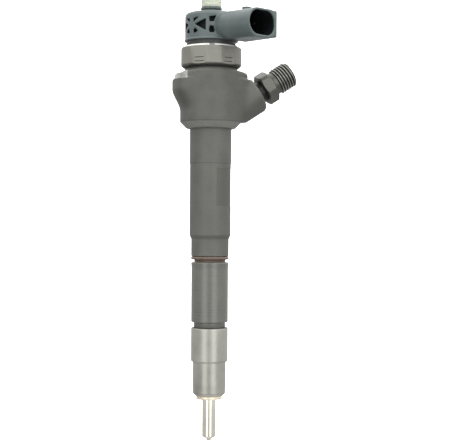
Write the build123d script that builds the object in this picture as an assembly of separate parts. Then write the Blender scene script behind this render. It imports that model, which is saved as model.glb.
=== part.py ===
from build123d import *
import math
import os

# A solenoid common-rail diesel injector, in millimetres.
# Frame: the origin is on the injector's axis, at the bottom face of the copper sealing washer.
# +Z runs up the axis to the moulded head, and +X points to the side of the high-pressure inlet.

# ---- driving dimensions ----
# heights of the main steps, from the washer's seat upwards
Z_TIP = -22.0
Z_SHANK_END = -19.6
Z_NOZZLE_TOP = 20.0
Z_NUT_TOP = 37.2
Z_LOWER_BODY = 40.1
Z_GROOVE_LOW = 71.2
Z_GROOVE_HIGH = 74.4
Z_SHAFT_LOW = 85.3
Z_SHAFT_STEP = 122.6
Z_CONE_LOW = 140.9
Z_HEAD_LOW = 144.2
Z_HEAD_TOP = 170.6
Z_THREAD_LOW = 173.6
Z_BODY_TOP = 179.5
Z_MAGNET_NUT_LOW = 172.4
Z_MAGNET_NUT_TOP = 184.2
Z_MOULDING_LOW = 186.1
Z_MOULDING_TOP = 200.9
Z_STUB_COLLAR_LOW = 202.6
Z_STUB_COLLAR_TOP = 204.2
Z_NIPPLE_TOP = 214.0
Z_CAP_TOP = 219.5

# outside radii
R_SHANK = 3.5
R_WASHER = 6.7
R_NUT_LOW = 8.63
R_NUT_HIGH = 9.63
R_NECK = 8.2
R_LOWER_BODY = 9.62
R_GROOVE = 8.15
R_SHAFT = 10.7
R_SHAFT_HIGH = 10.87
R_HEAD = 16.1
R_WING = 20.25
R_COLLAR = 19.2
R_TOP_NECK = 13.7
X_CLAMP_WALL = 14.8
Y_CLAMP_WALL = 4.5
Z_CLAMP_FLOOR = 166.3
R_MAGNET_NUT = 16.0
R_SLEEVE = 12.35
R_MOULDING = 13.7
R_NIPPLE = 3.9
R_CAP = 5.2

# bores of the body
R_SPRING_BORE = 3.6
R_PLUNGER_BORE = 2.5
R_RING_CHAMBER = 6.2
R_VALVE_BORE = 8.2
R_ARMATURE_ROOM = 10.2
R_SLEEVE_BORE = 11.2
Z_SPRING_BORE_TOP = 44.0
Z_SEAL_POCKET = 136.5
Z_VALVE_STEP = 152.0
Z_VALVE_TOP = 158.0
Z_ARMATURE_FLOOR = 166.0
Z_SHIM_LEDGE = 171.5

# threads: crest radius, root radius, pitch of the male part, and the radial play of the female part
NOZZLE_THREAD = (7.95, 7.35, 1.0)
MAGNET_THREAD = (13.45, 12.85, 1.0)
CLAMP_THREAD = (8.95, 8.35, 1.0)
STUB_THREAD = (6.0, 5.3, 1.25)
INLET_THREAD = (7.0, 6.1, 1.5)
THREAD_PLAY = 0.06
FIT = 0.05

# high-pressure inlet: its axis rises from the injector's axis towards +X
INLET_RISE = 32.5
Z_INLET_CROSS = 143.8
R_BOSS = 9.6
T_BOSS = 29.9
T_SOCKET = 18.0
T_HEX_LOW = 32.9
T_HEX_HIGH = 38.9
T_THREAD_LOW = 42.0
T_INLET_END = 51.1
HEX_ACROSS_FLATS = 16.0
HEX_TURN = 20.0

# moulded head: the socket's direction about the axis, and the D-shaped mouth
SOCKET_TURN = -59.0
L_MOUTH = 36.8
L_SOCKET_FLOOR = 18.0
MOUTH_NEAR = -8.75
MOUTH_FAR = 8.75
Z_MOUTH_LOW = 186.2
Z_MOUTH_HIGH = 199.0
LATTICE_TURN = -152.0
LATTICE_DEPTH = 2.4

# moving parts
R_NEEDLE = 2.0
R_PLUNGER = 2.1
R_PIN = 2.0
R_BALL = 0.675
Z_PIN_LOW = 160.0
Z_PLATE_LOW = 171.2
Z_PLATE_TOP = 173.5
Z_CORE_LOW = 173.6
Z_CORE_TOP = 184.0

INLET_PLANE = Plane(
    origin=(0, 0, Z_INLET_CROSS),
    x_dir=(0, 1, 0),
    z_dir=(math.cos(math.radians(INLET_RISE)), 0, math.sin(math.radians(INLET_RISE))),
)
FROM_BELOW = (Align.CENTER, Align.CENTER, Align.MIN)


def turned(outline):
    """Solid of revolution about Z from (radius, height) corners."""
    corners = [(r, 0, z) for r, z in outline]
    face = Face(Wire.make_polygon(corners, close=True))
    return Solid.revolve(face, 360, Axis.Z)


def tube(r_in, r_out, low, high):
    """Plain ring about Z."""
    return turned([(r_in, low), (r_out, low), (r_out, high), (r_in, high)])


def rod(radius, low, high):
    """Plain cylinder about Z."""
    return Pos(0, 0, low) * Cylinder(radius, high - low, align=FROM_BELOW)


def drilling(start, end, radius):
    """Straight round drilling from one point to another."""
    path = Vector(*end) - Vector(*start)
    plane = Plane(origin=start, z_dir=path)
    return plane * Cylinder(radius, path.length, align=FROM_BELOW)


def rings(thread, low, high, play=0.0):
    """Corners of a thread's side, low end first, as rings that match in male and female parts."""
    crest, root, pitch = thread
    count = round((high - low) / pitch)
    step = (high - low) / count
    corners = []
    for i in range(count):
        base = low + i * step
        corners.append((root + play, base))
        corners.append((root + play, base + 0.12 * step))
        corners.append((crest + play, base + 0.46 * step))
        corners.append((crest + play, base + 0.66 * step))
    corners.append((root + play, high))
    return corners


def coil_spring(mean_radius, wire_radius, low, high, turns):
    """Helical spring with its ends cut flat."""
    helix = Helix(pitch=(high - low) / turns, height=high - low, radius=mean_radius, center=(0, 0, low))
    profile = Plane(origin=helix @ 0, z_dir=helix % 0) * Circle(wire_radius)
    wire = sweep(profile, path=helix, is_frenet=True)
    band = rod(mean_radius + 2 * wire_radius, low, high)
    return wire & band


def o_ring(mean_radius, section_radius, height):
    """Round-section ring about Z."""
    return Pos(0, 0, height) * Torus(mean_radius, section_radius)


# ---- nozzle end ----


def nozzle_body():
    """Nozzle with stepped outside, needle guide, gallery, conical seat and sac."""
    outside = turned([
        (0, Z_TIP),
        (0.7, Z_TIP + 0.1),
        (1.15, Z_TIP + 0.5),
        (1.25, Z_TIP + 1.1),
        (R_SHANK, Z_SHANK_END),
        (R_SHANK, -0.1),
        (3.3, 0.1),
        (3.3, 1.9),
        (4.9, 1.9),
        (4.9, 5.0),
        (7.1, 5.0),
        (7.1, Z_NOZZLE_TOP),
        (0, Z_NOZZLE_TOP),
    ])
    inside = turned([
        (0, -21.2),
        (0.45, -21.0),
        (0.45, -20.11),
        (1.9, -17.6),
        (1.9, 3.6),
        (3.2, 4.6),
        (3.2, 8.4),
        (R_NEEDLE + 0.02, 9.2),
        (R_NEEDLE + 0.02, Z_NOZZLE_TOP),
        (0, Z_NOZZLE_TOP),
    ])
    feed = drilling((2.6, 0, 6.0), (5.5, 0, Z_NOZZLE_TOP), 0.9)
    holes = [dowel_hole(turn) for turn in (-120, 120)]
    sprays = []
    for i in range(8):
        turn = math.radians(22.5 + 45 * i)
        outer = (3.0 * math.cos(turn), 3.0 * math.sin(turn), -21.9)
        sprays.append(drilling((0, 0, -20.6), outer, 0.08))
    return outside - inside - feed - holes - sprays


def dowel_hole(turn):
    """Hole for one dowel, half in the nozzle and half in the body."""
    return Rot(0, 0, turn) * Pos(5.3, 0, 17.4) * Cylinder(0.9 + FIT, 5.2, align=FROM_BELOW)


def dowel(turn):
    """Dowel that lines the nozzle up with the body."""
    pin = Cylinder(0.9, 5.0, align=FROM_BELOW)
    pin = chamfer(pin.edges().filter_by(GeomType.CIRCLE), 0.2)
    return Rot(0, 0, turn) * Pos(5.3, 0, 17.5) * pin


def nozzle_needle():
    """Needle on its seat, with guide, shaft and the pin that carries the spring seat."""
    return turned([
        (0, -20.4),
        (0.35, -20.27),
        (1.3, -18.62),
        (1.3, 8.9),
        (R_NEEDLE, 9.8),
        (R_NEEDLE, 19.6),
        (1.2, 19.6),
        (1.2, 21.0),
        (0, 21.0),
    ])


def nozzle_nut():
    """Retaining nut that pulls the nozzle against the body."""
    outside = [
        (5.2, 1.6),
        (7.0, 1.6),
        (8.45, 2.9),
        (R_NUT_LOW, 7.7),
        (R_NUT_LOW, 19.5),
        (R_NUT_HIGH - 0.4, 19.5),
        (R_NUT_HIGH, 19.9),
        (R_NUT_HIGH, Z_NUT_TOP - 0.4),
        (R_NUT_HIGH - 0.4, Z_NUT_TOP),
    ]
    thread = rings(NOZZLE_THREAD, 26.0, Z_NUT_TOP - 0.2, THREAD_PLAY)
    inside = [(7.6, Z_NUT_TOP)] + thread[::-1] + [(7.2, 25.6), (7.2, 5.0), (5.2, 5.0)]
    return turned(outside + inside)


def combustion_washer():
    """Copper sealing washer under the nut."""
    washer = tube(3.62, R_WASHER, 0, 1.6)
    return fillet(washer.edges().filter_by(GeomType.CIRCLE), 0.25)


def pressure_pin():
    """Spring seat between needle and plunger."""
    return turned([(0, 21.0), (3.1, 21.0), (3.35, 21.25), (3.35, 22.6), (1.9, 22.6), (1.9, 24.2), (1.6, 24.5), (0, 24.5)])


def control_plunger():
    """Rod from the needle up to the control chamber."""
    return turned([
        (0, 24.5),
        (1.5, 24.5),
        (1.75, 24.8),
        (1.75, 60.0),
        (R_PLUNGER, 61.0),
        (R_PLUNGER, 149.1),
        (R_PLUNGER - 0.3, 149.4),
        (0, 149.4),
    ])


# ---- forged body ----


def body_shaft():
    """Turned shape of the body, from the nozzle face to the magnet thread."""
    side = [
        (0, Z_NOZZLE_TOP),
        (7.15, Z_NOZZLE_TOP),
        (7.15, 25.6),
    ]
    side += rings(NOZZLE_THREAD, 26.0, Z_NUT_TOP - 0.2)
    side += [
        (7.35, Z_NUT_TOP + 0.05),
        (R_NECK, Z_NUT_TOP + 0.05),
        (R_NECK, Z_LOWER_BODY),
        (R_LOWER_BODY - 0.3, Z_LOWER_BODY),
        (R_LOWER_BODY, Z_LOWER_BODY + 0.3),
        (R_LOWER_BODY, 68.0),
        (9.8, 70.9),
        (9.5, Z_GROOVE_LOW),
        (R_GROOVE, Z_GROOVE_LOW),
        (R_GROOVE, Z_GROOVE_HIGH),
        (9.6, Z_GROOVE_HIGH),
        (9.8, Z_GROOVE_HIGH + 0.2),
        (9.8, 83.4),
        (R_SHAFT, Z_SHAFT_LOW),
        (R_SHAFT, Z_SHAFT_STEP),
        (R_SHAFT_HIGH, Z_SHAFT_STEP + 0.2),
        (R_SHAFT_HIGH, Z_CONE_LOW - 0.4),
        (11.2, Z_CONE_LOW - 0.1),
        (12.8, Z_CONE_LOW),
        (R_HEAD - 0.3, Z_HEAD_LOW - 0.2),
        (R_HEAD, Z_HEAD_LOW + 0.3),
        (R_HEAD, Z_HEAD_TOP - 1.0),
        (R_HEAD - 1.0, Z_HEAD_TOP),
        (R_TOP_NECK, Z_HEAD_TOP),
        (R_TOP_NECK, 173.0),
        (12.85, 173.3),
    ]
    side += rings(MAGNET_THREAD, Z_THREAD_LOW, Z_BODY_TOP - 0.3)
    side += [(12.6, Z_BODY_TOP), (0, Z_BODY_TOP)]
    return turned(side)


def lobe_side(x_sign, y_sign):
    """One side of a wing seen from above, running out of the round head."""
    points = [(11.4, 11.4), (15.2, 8.6), (18.6, 7.6), (22.5, 6.8)]
    spots = [(x_sign * x, y_sign * y) for x, y in points]
    return Spline(*spots, tangents=[(x_sign, -y_sign), (x_sign, -0.2 * y_sign)]).edge()


def wing_plan():
    """Plan of both wings, as a tall prism."""
    corners = [(22.5, 6.8), (11.4, 11.4)]
    edges = []
    for x_sign in (1, -1):
        edges.append(lobe_side(x_sign, 1))
        edges.append(lobe_side(x_sign, -1))
        edges.append(Edge.make_line((x_sign * corners[0][0], corners[0][1]), (x_sign * corners[0][0], -corners[0][1])))
    for y_sign in (1, -1):
        edges.append(Edge.make_line((corners[1][0], y_sign * corners[1][1]), (-corners[1][0], y_sign * corners[1][1])))
    face = Face(Wire(edges))
    return Pos(0, 0, 140) * extrude(face, 40, dir=(0, 0, 1))


def head_wings():
    """Two wings left and right of the head, cut from one turned shape with an S-shaped flank."""
    flank = Spline(
        (R_HEAD - 0.05, 0, 149.2),
        (16.4, 0, 151.3),
        (17.65, 0, 154.9),
        (18.8, 0, 157.0),
        (19.74, 0, 159.1),
        (R_WING, 0, 161.4),
        tangents=[(0.05, 0, 1), (0.02, 0, 1)],
    )
    rest = Polyline(
        (R_WING, 0, 161.4),
        (R_WING, 0, 165.7),
        (R_WING - 0.35, 0, 166.3),
        (R_COLLAR, 0, 166.8),
        (R_COLLAR, 0, 168.6),
        (18.8, 0, 169.3),
        (18.2, 0, 169.8),
        (17.2, 0, 170.2),
        (15.5, 0, Z_HEAD_TOP),
        (10, 0, Z_HEAD_TOP),
        (10, 0, 149.2),
        (R_HEAD - 0.05, 0, 149.2),
    )
    face = Face(Wire([flank.edge()] + rest.edges()))
    return Solid.revolve(face, 360, Axis.Z) & wing_plan()


def clamp_seat():
    """Material cut away for one prong of the clamp, on the -X side."""
    return Pos(-X_CLAMP_WALL, Y_CLAMP_WALL, Z_CLAMP_FLOOR) * Box(20, 30, 20, align=(Align.MAX, Align.MAX, Align.MIN))


def inlet_boss():
    """Round boss of the high-pressure inlet, turned away under the head with its cone."""
    boss = turned([(0, 3), (R_BOSS + 0.4, 3), (R_BOSS, T_BOSS - 1.2), (R_BOSS - 1.0, T_BOSS), (0, T_BOSS)])
    turned_away = turned([
        (R_SHAFT_HIGH, 136.0),
        (40, 136.0),
        (40, Z_HEAD_LOW + 0.3),
        (R_HEAD, Z_HEAD_LOW + 0.3),
        (R_HEAD - 0.3, Z_HEAD_LOW - 0.2),
        (12.8, Z_CONE_LOW),
        (11.2, Z_CONE_LOW - 0.1),
        (R_SHAFT_HIGH, Z_CONE_LOW - 0.4),
    ])
    return INLET_PLANE * boss - turned_away - tube(R_COLLAR, 40, 166.6, 175)


def inlet_bores():
    """Threaded socket of the inlet stub and the drilling on to the ring chamber."""
    socket = [(0, T_SOCKET), (5.0, T_SOCKET), (5.0, T_SOCKET + 0.5)]
    socket += rings(STUB_THREAD, T_SOCKET + 1.0, T_BOSS - 0.1, THREAD_PLAY)
    socket += [(6.2, T_BOSS + 0.5), (0, T_BOSS + 0.5)]
    passage = rod(1.5, 5.5, T_SOCKET + 0.5)
    return [INLET_PLANE * turned(socket), INLET_PLANE * passage]


def axial_bores():
    """Stepped bore along the body's axis, from the nozzle face to the top."""
    side = [
        (0, Z_NOZZLE_TOP - 1),
        (R_SPRING_BORE, Z_NOZZLE_TOP - 1),
        (R_SPRING_BORE, Z_SPRING_BORE_TOP),
        (R_PLUNGER_BORE, Z_SPRING_BORE_TOP),
        (R_PLUNGER_BORE, 134.5),
        (4.6, 134.5),
        (4.6, Z_SEAL_POCKET),
        (R_RING_CHAMBER, Z_SEAL_POCKET),
        (R_RING_CHAMBER, Z_VALVE_STEP),
        (R_VALVE_BORE, Z_VALVE_STEP),
        (R_VALVE_BORE, 158.6),
    ]
    side += rings(CLAMP_THREAD, 158.8, 165.8, THREAD_PLAY)
    side += [
        (R_ARMATURE_ROOM, Z_ARMATURE_FLOOR),
        (R_ARMATURE_ROOM, Z_SHIM_LEDGE),
        (R_SLEEVE_BORE, Z_SHIM_LEDGE),
        (R_SLEEVE_BORE, Z_BODY_TOP + 1),
        (0, Z_BODY_TOP + 1),
    ]
    return turned(side)


def shaft_panel():
    """Shallow rectangular recess on the shaft."""
    band = tube(R_SHAFT - 0.1, R_SHAFT + 2, 100.5, 120.2)
    wedge = Rot(0, 0, -45) * Pos(0, -6.9, 90) * Box(16, 15.4, 40, align=(Align.MIN, Align.MIN, Align.MIN))
    return band & wedge


def injector_body():
    """Forged body with its drillings."""
    body = body_shaft() + head_wings() + inlet_boss()
    body -= axial_bores()
    body -= inlet_bores()
    body -= [clamp_seat(), Rot(0, 0, 180) * clamp_seat()]
    body -= shaft_panel()
    body -= [dowel_hole(turn) for turn in (-120, 120)]
    body -= drilling((5.5, 0, Z_NOZZLE_TOP - 1), (8.2, 0, 148.5), 0.9)
    body -= drilling((-2.0, 0, 46.0), (-10.6, 0, 168.5), 0.6)
    return body


def spring_shim():
    """Shim at the closed end of the nozzle spring's room."""
    return tube(2.3, 3.5, Z_SPRING_BORE_TOP - 1.0, Z_SPRING_BORE_TOP)


def body_o_ring():
    """Sealing ring in the body's groove."""
    return o_ring(R_GROOVE + 0.92, 0.9, Z_GROOVE_HIGH - 0.95)


# ---- high-pressure inlet ----


def inlet_fitting():
    """Inlet stub: shank in the boss, neck, hexagon, plain neck, thread and sealing cone."""
    side = [(1.2, T_SOCKET + 0.1), (4.9, T_SOCKET + 0.1), (4.9, T_SOCKET + 0.7)]
    side += rings(STUB_THREAD, T_SOCKET + 1.0, T_BOSS - 0.1)
    side += [
        (5.65, T_BOSS + 0.2),
        (5.65, T_HEX_LOW),
        (7.7, T_HEX_LOW),
        (8.7, T_HEX_LOW + 0.6),
        (8.7, T_HEX_HIGH - 0.9),
        (7.5, T_HEX_HIGH),
        (6.1, T_HEX_HIGH + 0.3),
    ]
    side += rings(INLET_THREAD, T_THREAD_LOW - 0.3, T_INLET_END - 0.3)
    side += [(5.4, T_INLET_END), (4.4, T_INLET_END), (2.2, T_INLET_END - 3.8), (2.2, T_SOCKET + 3), (1.2, T_SOCKET + 2.4)]
    stub = turned(side)
    outline = RegularPolygon(HEX_ACROSS_FLATS / 2, 6, major_radius=False, rotation=HEX_TURN)
    hexagon = Pos(0, 0, T_HEX_LOW) * extrude(outline, T_HEX_HIGH - T_HEX_LOW)
    below = rod(12, 0, T_HEX_LOW)
    above = rod(12, T_HEX_HIGH, 60)
    return INLET_PLANE * (stub & (hexagon + below + above))


def edge_filter():
    """Rod filter with lengthwise slots, closed at alternate ends."""
    filter_rod = turned([(0, 22.0), (1.7, 22.0), (2.15, 22.5), (2.15, 42.0), (1.7, 42.5), (0, 42.5)])
    slots = []
    for i in range(8):
        low = 24.0 if i % 2 else 21.0
        slots.append(Rot(0, 0, 45 * i) * Pos(1.75, 0, low) * Box(0.9, 0.5, 19.5, align=(Align.MIN, Align.CENTER, Align.MIN)))
    return INLET_PLANE * (filter_rod - slots)


# ---- control valve ----


def valve_piece():
    """Valve piece: plunger guide, control chamber, throttles and ball seat."""
    outside = turned([
        (0, 136.0),
        (4.3, 136.0),
        (4.5, 136.3),
        (4.5, Z_VALVE_STEP),
        (8.0, Z_VALVE_STEP),
        (8.0, Z_VALVE_TOP),
        (0, Z_VALVE_TOP),
    ])
    bore = R_PLUNGER + FIT
    inside = turned([
        (0, 135.0),
        (bore, 135.0),
        (bore, 151.3),
        (0.25, 152.5),
        (0.25, 157.57),
        (1.0, Z_VALVE_TOP + 0.003),
        (0, Z_VALVE_TOP + 0.003),
    ])
    throttle = drilling((-5.0, 0, 151.0), (-1.5, 0, 151.0), 0.15)
    return outside - inside - throttle


def high_pressure_ring():
    """Seal ring under the ring chamber."""
    return tube(4.55, 6.15, Z_SEAL_POCKET, 138.5)


def valve_ball():
    """Ball on its seat."""
    return Pos(0, 0, 158.217) * Sphere(R_BALL)


def ball_holder():
    """Cup that guides the ball under the pin."""
    cup = turned([(0, 158.4), (1.2, 158.4), (1.6, 158.9), (1.6, Z_PIN_LOW), (0, Z_PIN_LOW)])
    return cup - Pos(0, 0, 158.217) * Sphere(R_BALL + 0.015)


def armature_guide():
    """Guide disc and sleeve of the armature pin, with four passages for the spilled fuel."""
    bore = R_PIN + FIT
    guide = turned([(bore, Z_VALVE_TOP), (7.6, Z_VALVE_TOP), (7.6, 160.5), (3.4, 160.5), (3.4, Z_ARMATURE_FLOOR), (bore, Z_ARMATURE_FLOOR)])
    passages = [Rot(0, 0, 45 + 90 * i) * Pos(4.7, 0, 157) * Cylinder(0.8, 5, align=FROM_BELOW) for i in range(4)]
    slots = [Rot(0, 0, 45 + 90 * i) * Pos(1.5, 0, Z_VALVE_TOP) * Box(3.6, 1.2, 0.8, align=(Align.MIN, Align.CENTER, Align.MIN)) for i in range(4)]
    return guide - passages - slots


def valve_clamp_screw():
    """Ring screw with four driving notches."""
    side = [(6.0, 160.5), (8.2, 160.5)]
    side += rings(CLAMP_THREAD, 160.8, 164.8)
    side += [(8.2, 165.0), (6.0, 165.0)]
    ring = turned(side)
    notches = [Rot(0, 0, 90 * i) * Pos(5, 0, 163.4) * Box(3, 1.6, 3, align=(Align.MIN, Align.CENTER, Align.MIN)) for i in range(4)]
    return ring - notches


def armature_pin():
    """Pin with the groove of its clip and a spigot for the valve spring."""
    return turned([
        (0, Z_PIN_LOW),
        (1.7, Z_PIN_LOW),
        (R_PIN, Z_PIN_LOW + 0.3),
        (R_PIN, Z_PLATE_TOP),
        (1.6, Z_PLATE_TOP),
        (1.6, Z_PLATE_TOP + 0.7),
        (1.85, Z_PLATE_TOP + 0.7),
        (1.85, Z_PLATE_TOP + 1.7),
        (1.6, Z_PLATE_TOP + 2.0),
        (0, Z_PLATE_TOP + 2.0),
    ])


def armature_clip():
    """C-ring in the pin's groove."""
    ring = tube(1.65, 3.0, Z_PLATE_TOP, Z_PLATE_TOP + 0.65)
    gap = Pos(0, 0, Z_PLATE_TOP - 1) * Box(5, 2.2, 3, align=(Align.MIN, Align.CENTER, Align.MIN))
    return ring - gap


def armature_plate():
    """Slotted disc that the magnet pulls."""
    plate = tube(R_PIN + FIT, 8.0, Z_PLATE_LOW, Z_PLATE_TOP)
    slots = [Rot(0, 0, 60 * i) * Pos(4.2, 0, 170) * Box(5, 0.7, 5, align=(Align.MIN, Align.CENTER, Align.MIN)) for i in range(6)]
    return plate - slots


def overtravel_spring():
    """Light spring between the guide's sleeve and the plate."""
    return coil_spring(2.65, 0.3, Z_ARMATURE_FLOOR, Z_PLATE_LOW, 4)


def valve_spring():
    """Spring that holds the pin and the ball shut."""
    return coil_spring(2.4, 0.4, Z_PLATE_TOP + 0.7, 186.0, 7)


def valve_spring_shim():
    """Shim over the valve spring."""
    return tube(1.2, 3.2, 186.0, 187.0)


# ---- magnet ----


def contact_points():
    """Places of the two contacts, in the socket's own direction."""
    return [(5.5, -2.5), (5.5, 2.5)]


def contact_leg(side, width, low, high):
    """Upright leg of one contact."""
    return Rot(0, 0, SOCKET_TURN) * Pos(5.5, side, low) * Box(width, width, high - low, align=FROM_BELOW)


def magnet_core():
    """Pot core with its coil room open towards the armature."""
    core = tube(3.3, 9.2, Z_CORE_LOW, Z_CORE_TOP)
    room = tube(4.6, 7.6, Z_CORE_LOW - 1, 181.0)
    legs = [contact_leg(side, 1.8, 180.0, 185.0) for side in (-2.5, 2.5)]
    return core - room - legs


def coil_bobbin():
    """Bobbin in the core's room."""
    side = [(4.65, 173.9), (7.5, 173.9), (7.5, 174.5), (5.1, 174.5), (5.1, 180.2), (7.5, 180.2), (7.5, 180.8), (4.65, 180.8)]
    legs = [contact_leg(side_y, 1.0, 180.0, 182.0) for side_y in (-2.5, 2.5)]
    return turned(side) - legs


def coil_winding():
    """Copper winding, with its outer layer drawn as rings."""
    side = [(5.15, 174.55)]
    for i in range(11):
        side.append((7.1, 174.55 + 0.5 * i))
        side.append((7.35, 174.8 + 0.5 * i))
    side += [(7.1, 180.05), (7.1, 180.15), (5.15, 180.15)]
    return turned(side)


def magnet_sleeve():
    """Sleeve with its flange under the nut, its seal groove and its closed top."""
    sleeve = turned([
        (9.3, 173.0),
        (11.1, 173.0),
        (11.1, 175.0),
        (10.0, 175.0),
        (10.0, 176.3),
        (11.1, 176.3),
        (11.1, Z_BODY_TOP),
        (13.2, Z_BODY_TOP),
        (13.2, 181.5),
        (R_SLEEVE, 181.5),
        (R_SLEEVE, 186.7),
        (R_SLEEVE - 0.3, 187.0),
        (3.4, 187.0),
        (3.4, Z_CORE_TOP),
        (9.3, Z_CORE_TOP),
    ])
    legs = [contact_leg(side, 1.8, 183.0, 188.0) for side in (-2.5, 2.5)]
    return sleeve - legs


def magnet_o_ring():
    """Seal between the sleeve and the body."""
    return o_ring(10.59, 0.58, 175.65)


def air_gap_shim():
    """Shim under the sleeve."""
    return tube(10.3, 11.1, Z_SHIM_LEDGE, 173.0)


def magnet_nut():
    """Clamping nut with six wrench flats, a pair of marks on each flat, thread and inner lip."""
    low = Z_MAGNET_NUT_LOW
    high = Z_MAGNET_NUT_TOP
    side = [
        (13.85, low),
        (14.5, low),
        (R_MAGNET_NUT, low + 1.3),
        (R_MAGNET_NUT, 182.4),
        (12.8, high),
        (R_SLEEVE + 0.1, high),
        (R_SLEEVE + 0.1, 181.55),
        (13.6, 181.55),
        (13.6, Z_BODY_TOP - 0.2),
    ]
    side += rings(MAGNET_THREAD, Z_THREAD_LOW, Z_BODY_TOP - 0.3, THREAD_PLAY)[::-1]
    side += [(13.85, Z_THREAD_LOW - 0.4)]
    nut = turned(side)
    for i in range(6):
        turn = Rot(0, 0, -127 + 60 * i)
        nut -= turn * Pos(15.4, 0, 170) * Box(5, 12, 20, align=(Align.MIN, Align.CENTER, Align.MIN))
        for z in (174.3, 176.3):
            nut -= turn * Pos(15.2, 0, z) * Box(5, 5.5, 0.4, align=(Align.MIN, Align.CENTER, Align.MIN))
    return nut


# ---- moulded head ----


def mouth_outline(near, far, low, high, r_near, r_far):
    """D-shaped outline in the Y-Z plane: round on the near side and squarer on the far side."""
    corner = []
    quarter = math.sqrt(0.5)
    near_low = (near + r_near, low)
    near_high = (near + r_near, high)
    spots = [
        ((far - r_far, low), (far - r_far + r_far * quarter, low + r_far * (1 - quarter)), (far, low + r_far)),
        ((far, high - r_far), (far - r_far + r_far * quarter, high - r_far * (1 - quarter)), (far - r_far, high)),
        (near_high, (near + r_near * (1 - quarter), high - r_near * (1 - quarter)), (near, high - r_near)),
        ((near, low + r_near), (near + r_near * (1 - quarter), low + r_near * (1 - quarter)), near_low),
    ]
    for i, (start, middle, end) in enumerate(spots):
        corner.append(Edge.make_three_point_arc((0, *start), (0, *middle), (0, *end)))
        following = spots[(i + 1) % 4][0]
        corner.append(Edge.make_line((0, *end), (0, *following)))
    return Face(Wire(corner))


def socket_shell():
    """Outside of the socket: a tapering tube with a squared rib along its far side."""
    root = Pos(2.0, 0, 0) * mouth_outline(-8.2, 11.5, 186.7, 200.1, 6.6, 4.0)
    neck = Pos(9.0, 0, 0) * mouth_outline(-8.2, 11.1, 186.3, 200.0, 6.6, 4.0)
    middle = Pos(17.0, 0, 0) * mouth_outline(-9.6, 10.7, 185.9, 199.9, 6.7, 4.0)
    mouth = Pos(L_MOUTH, 0, 0) * mouth_outline(-9.7, 9.7, 184.9, 199.7, 6.9, 4.0)
    shell = loft([root, neck], ruled=True) + loft([neck, middle], ruled=True) + loft([middle, mouth], ruled=True)
    rib = Pos(14.0, 4.5, 185.8) * Box(L_MOUTH - 14.0, 6.75, 13.8, align=(Align.MIN, Align.MIN, Align.MIN))
    rib = fillet(rib.edges().filter_by(Axis.X), 0.8)
    latch = Pos(23.6, -2.0, 199.3) * Box(3.4, 4.0, 1.4, align=(Align.MIN, Align.MIN, Align.MIN))
    return shell + rib + latch


def socket_room():
    """Inside of the socket, with a keying rib left on its floor side."""
    room = Pos(L_SOCKET_FLOOR, 0, 0) * extrude(
        mouth_outline(MOUTH_NEAR, MOUTH_FAR, Z_MOUTH_LOW, Z_MOUTH_HIGH, 6.2, 4.2), L_MOUTH, dir=(1, 0, 0))
    key = Pos(L_SOCKET_FLOOR, -3.2, Z_MOUTH_LOW - 0.5) * Box(L_MOUTH - L_SOCKET_FLOOR - 1.0, 2.4, 1.1, align=(Align.MIN, Align.MIN, Align.MIN))
    return room - key


def lattice_pockets():
    """Window pockets on one side, as (turn from the centre strut, height) corners."""
    pockets = [
        [(11.3, 193.8), (36.3, 190.6), (36.3, 196.2)],
        [(6.5, 196.8), (19.5, 197.4), (7.0, 195.2)],
        [(6.5, 190.8), (7.5, 189.3), (18.0, 190.2), (11.0, 191.9)],
        [(44.7, 197.2), (59.4, 197.8), (55.5, 194.9), (46.0, 194.9)],
        [(44.6, 190.4), (46.5, 189.3), (55.0, 189.4), (56.6, 190.6), (55.0, 192.5), (46.0, 192.5)],
    ]
    mirrored = [[(-turn, z) for turn, z in corners] for corners in pockets]
    return pockets + mirrored


def window_cutter(corners, centre_turn):
    """Radial cutter for one pocket on the head's wall."""
    middle = sum(turn for turn, _ in corners) / len(corners)
    flat = []
    for turn, z in corners:
        flat.append((0, R_MOULDING * math.sin(math.radians(turn - middle)), z))
    face = Face(Wire.make_polygon(flat, close=True))
    cutter = extrude(face, R_MOULDING + 2, dir=(1, 0, 0))
    return Rot(0, 0, centre_turn + middle) * cutter


def lattice():
    """All the window pockets, on both sides of the head."""
    cutters = []
    for corners in lattice_pockets():
        cutters.append(window_cutter(corners, LATTICE_TURN))
        mirrored = [(-turn, z) for turn, z in corners]
        cutters.append(window_cutter(mirrored, 2 * SOCKET_TURN - LATTICE_TURN))
    return cutters


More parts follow.
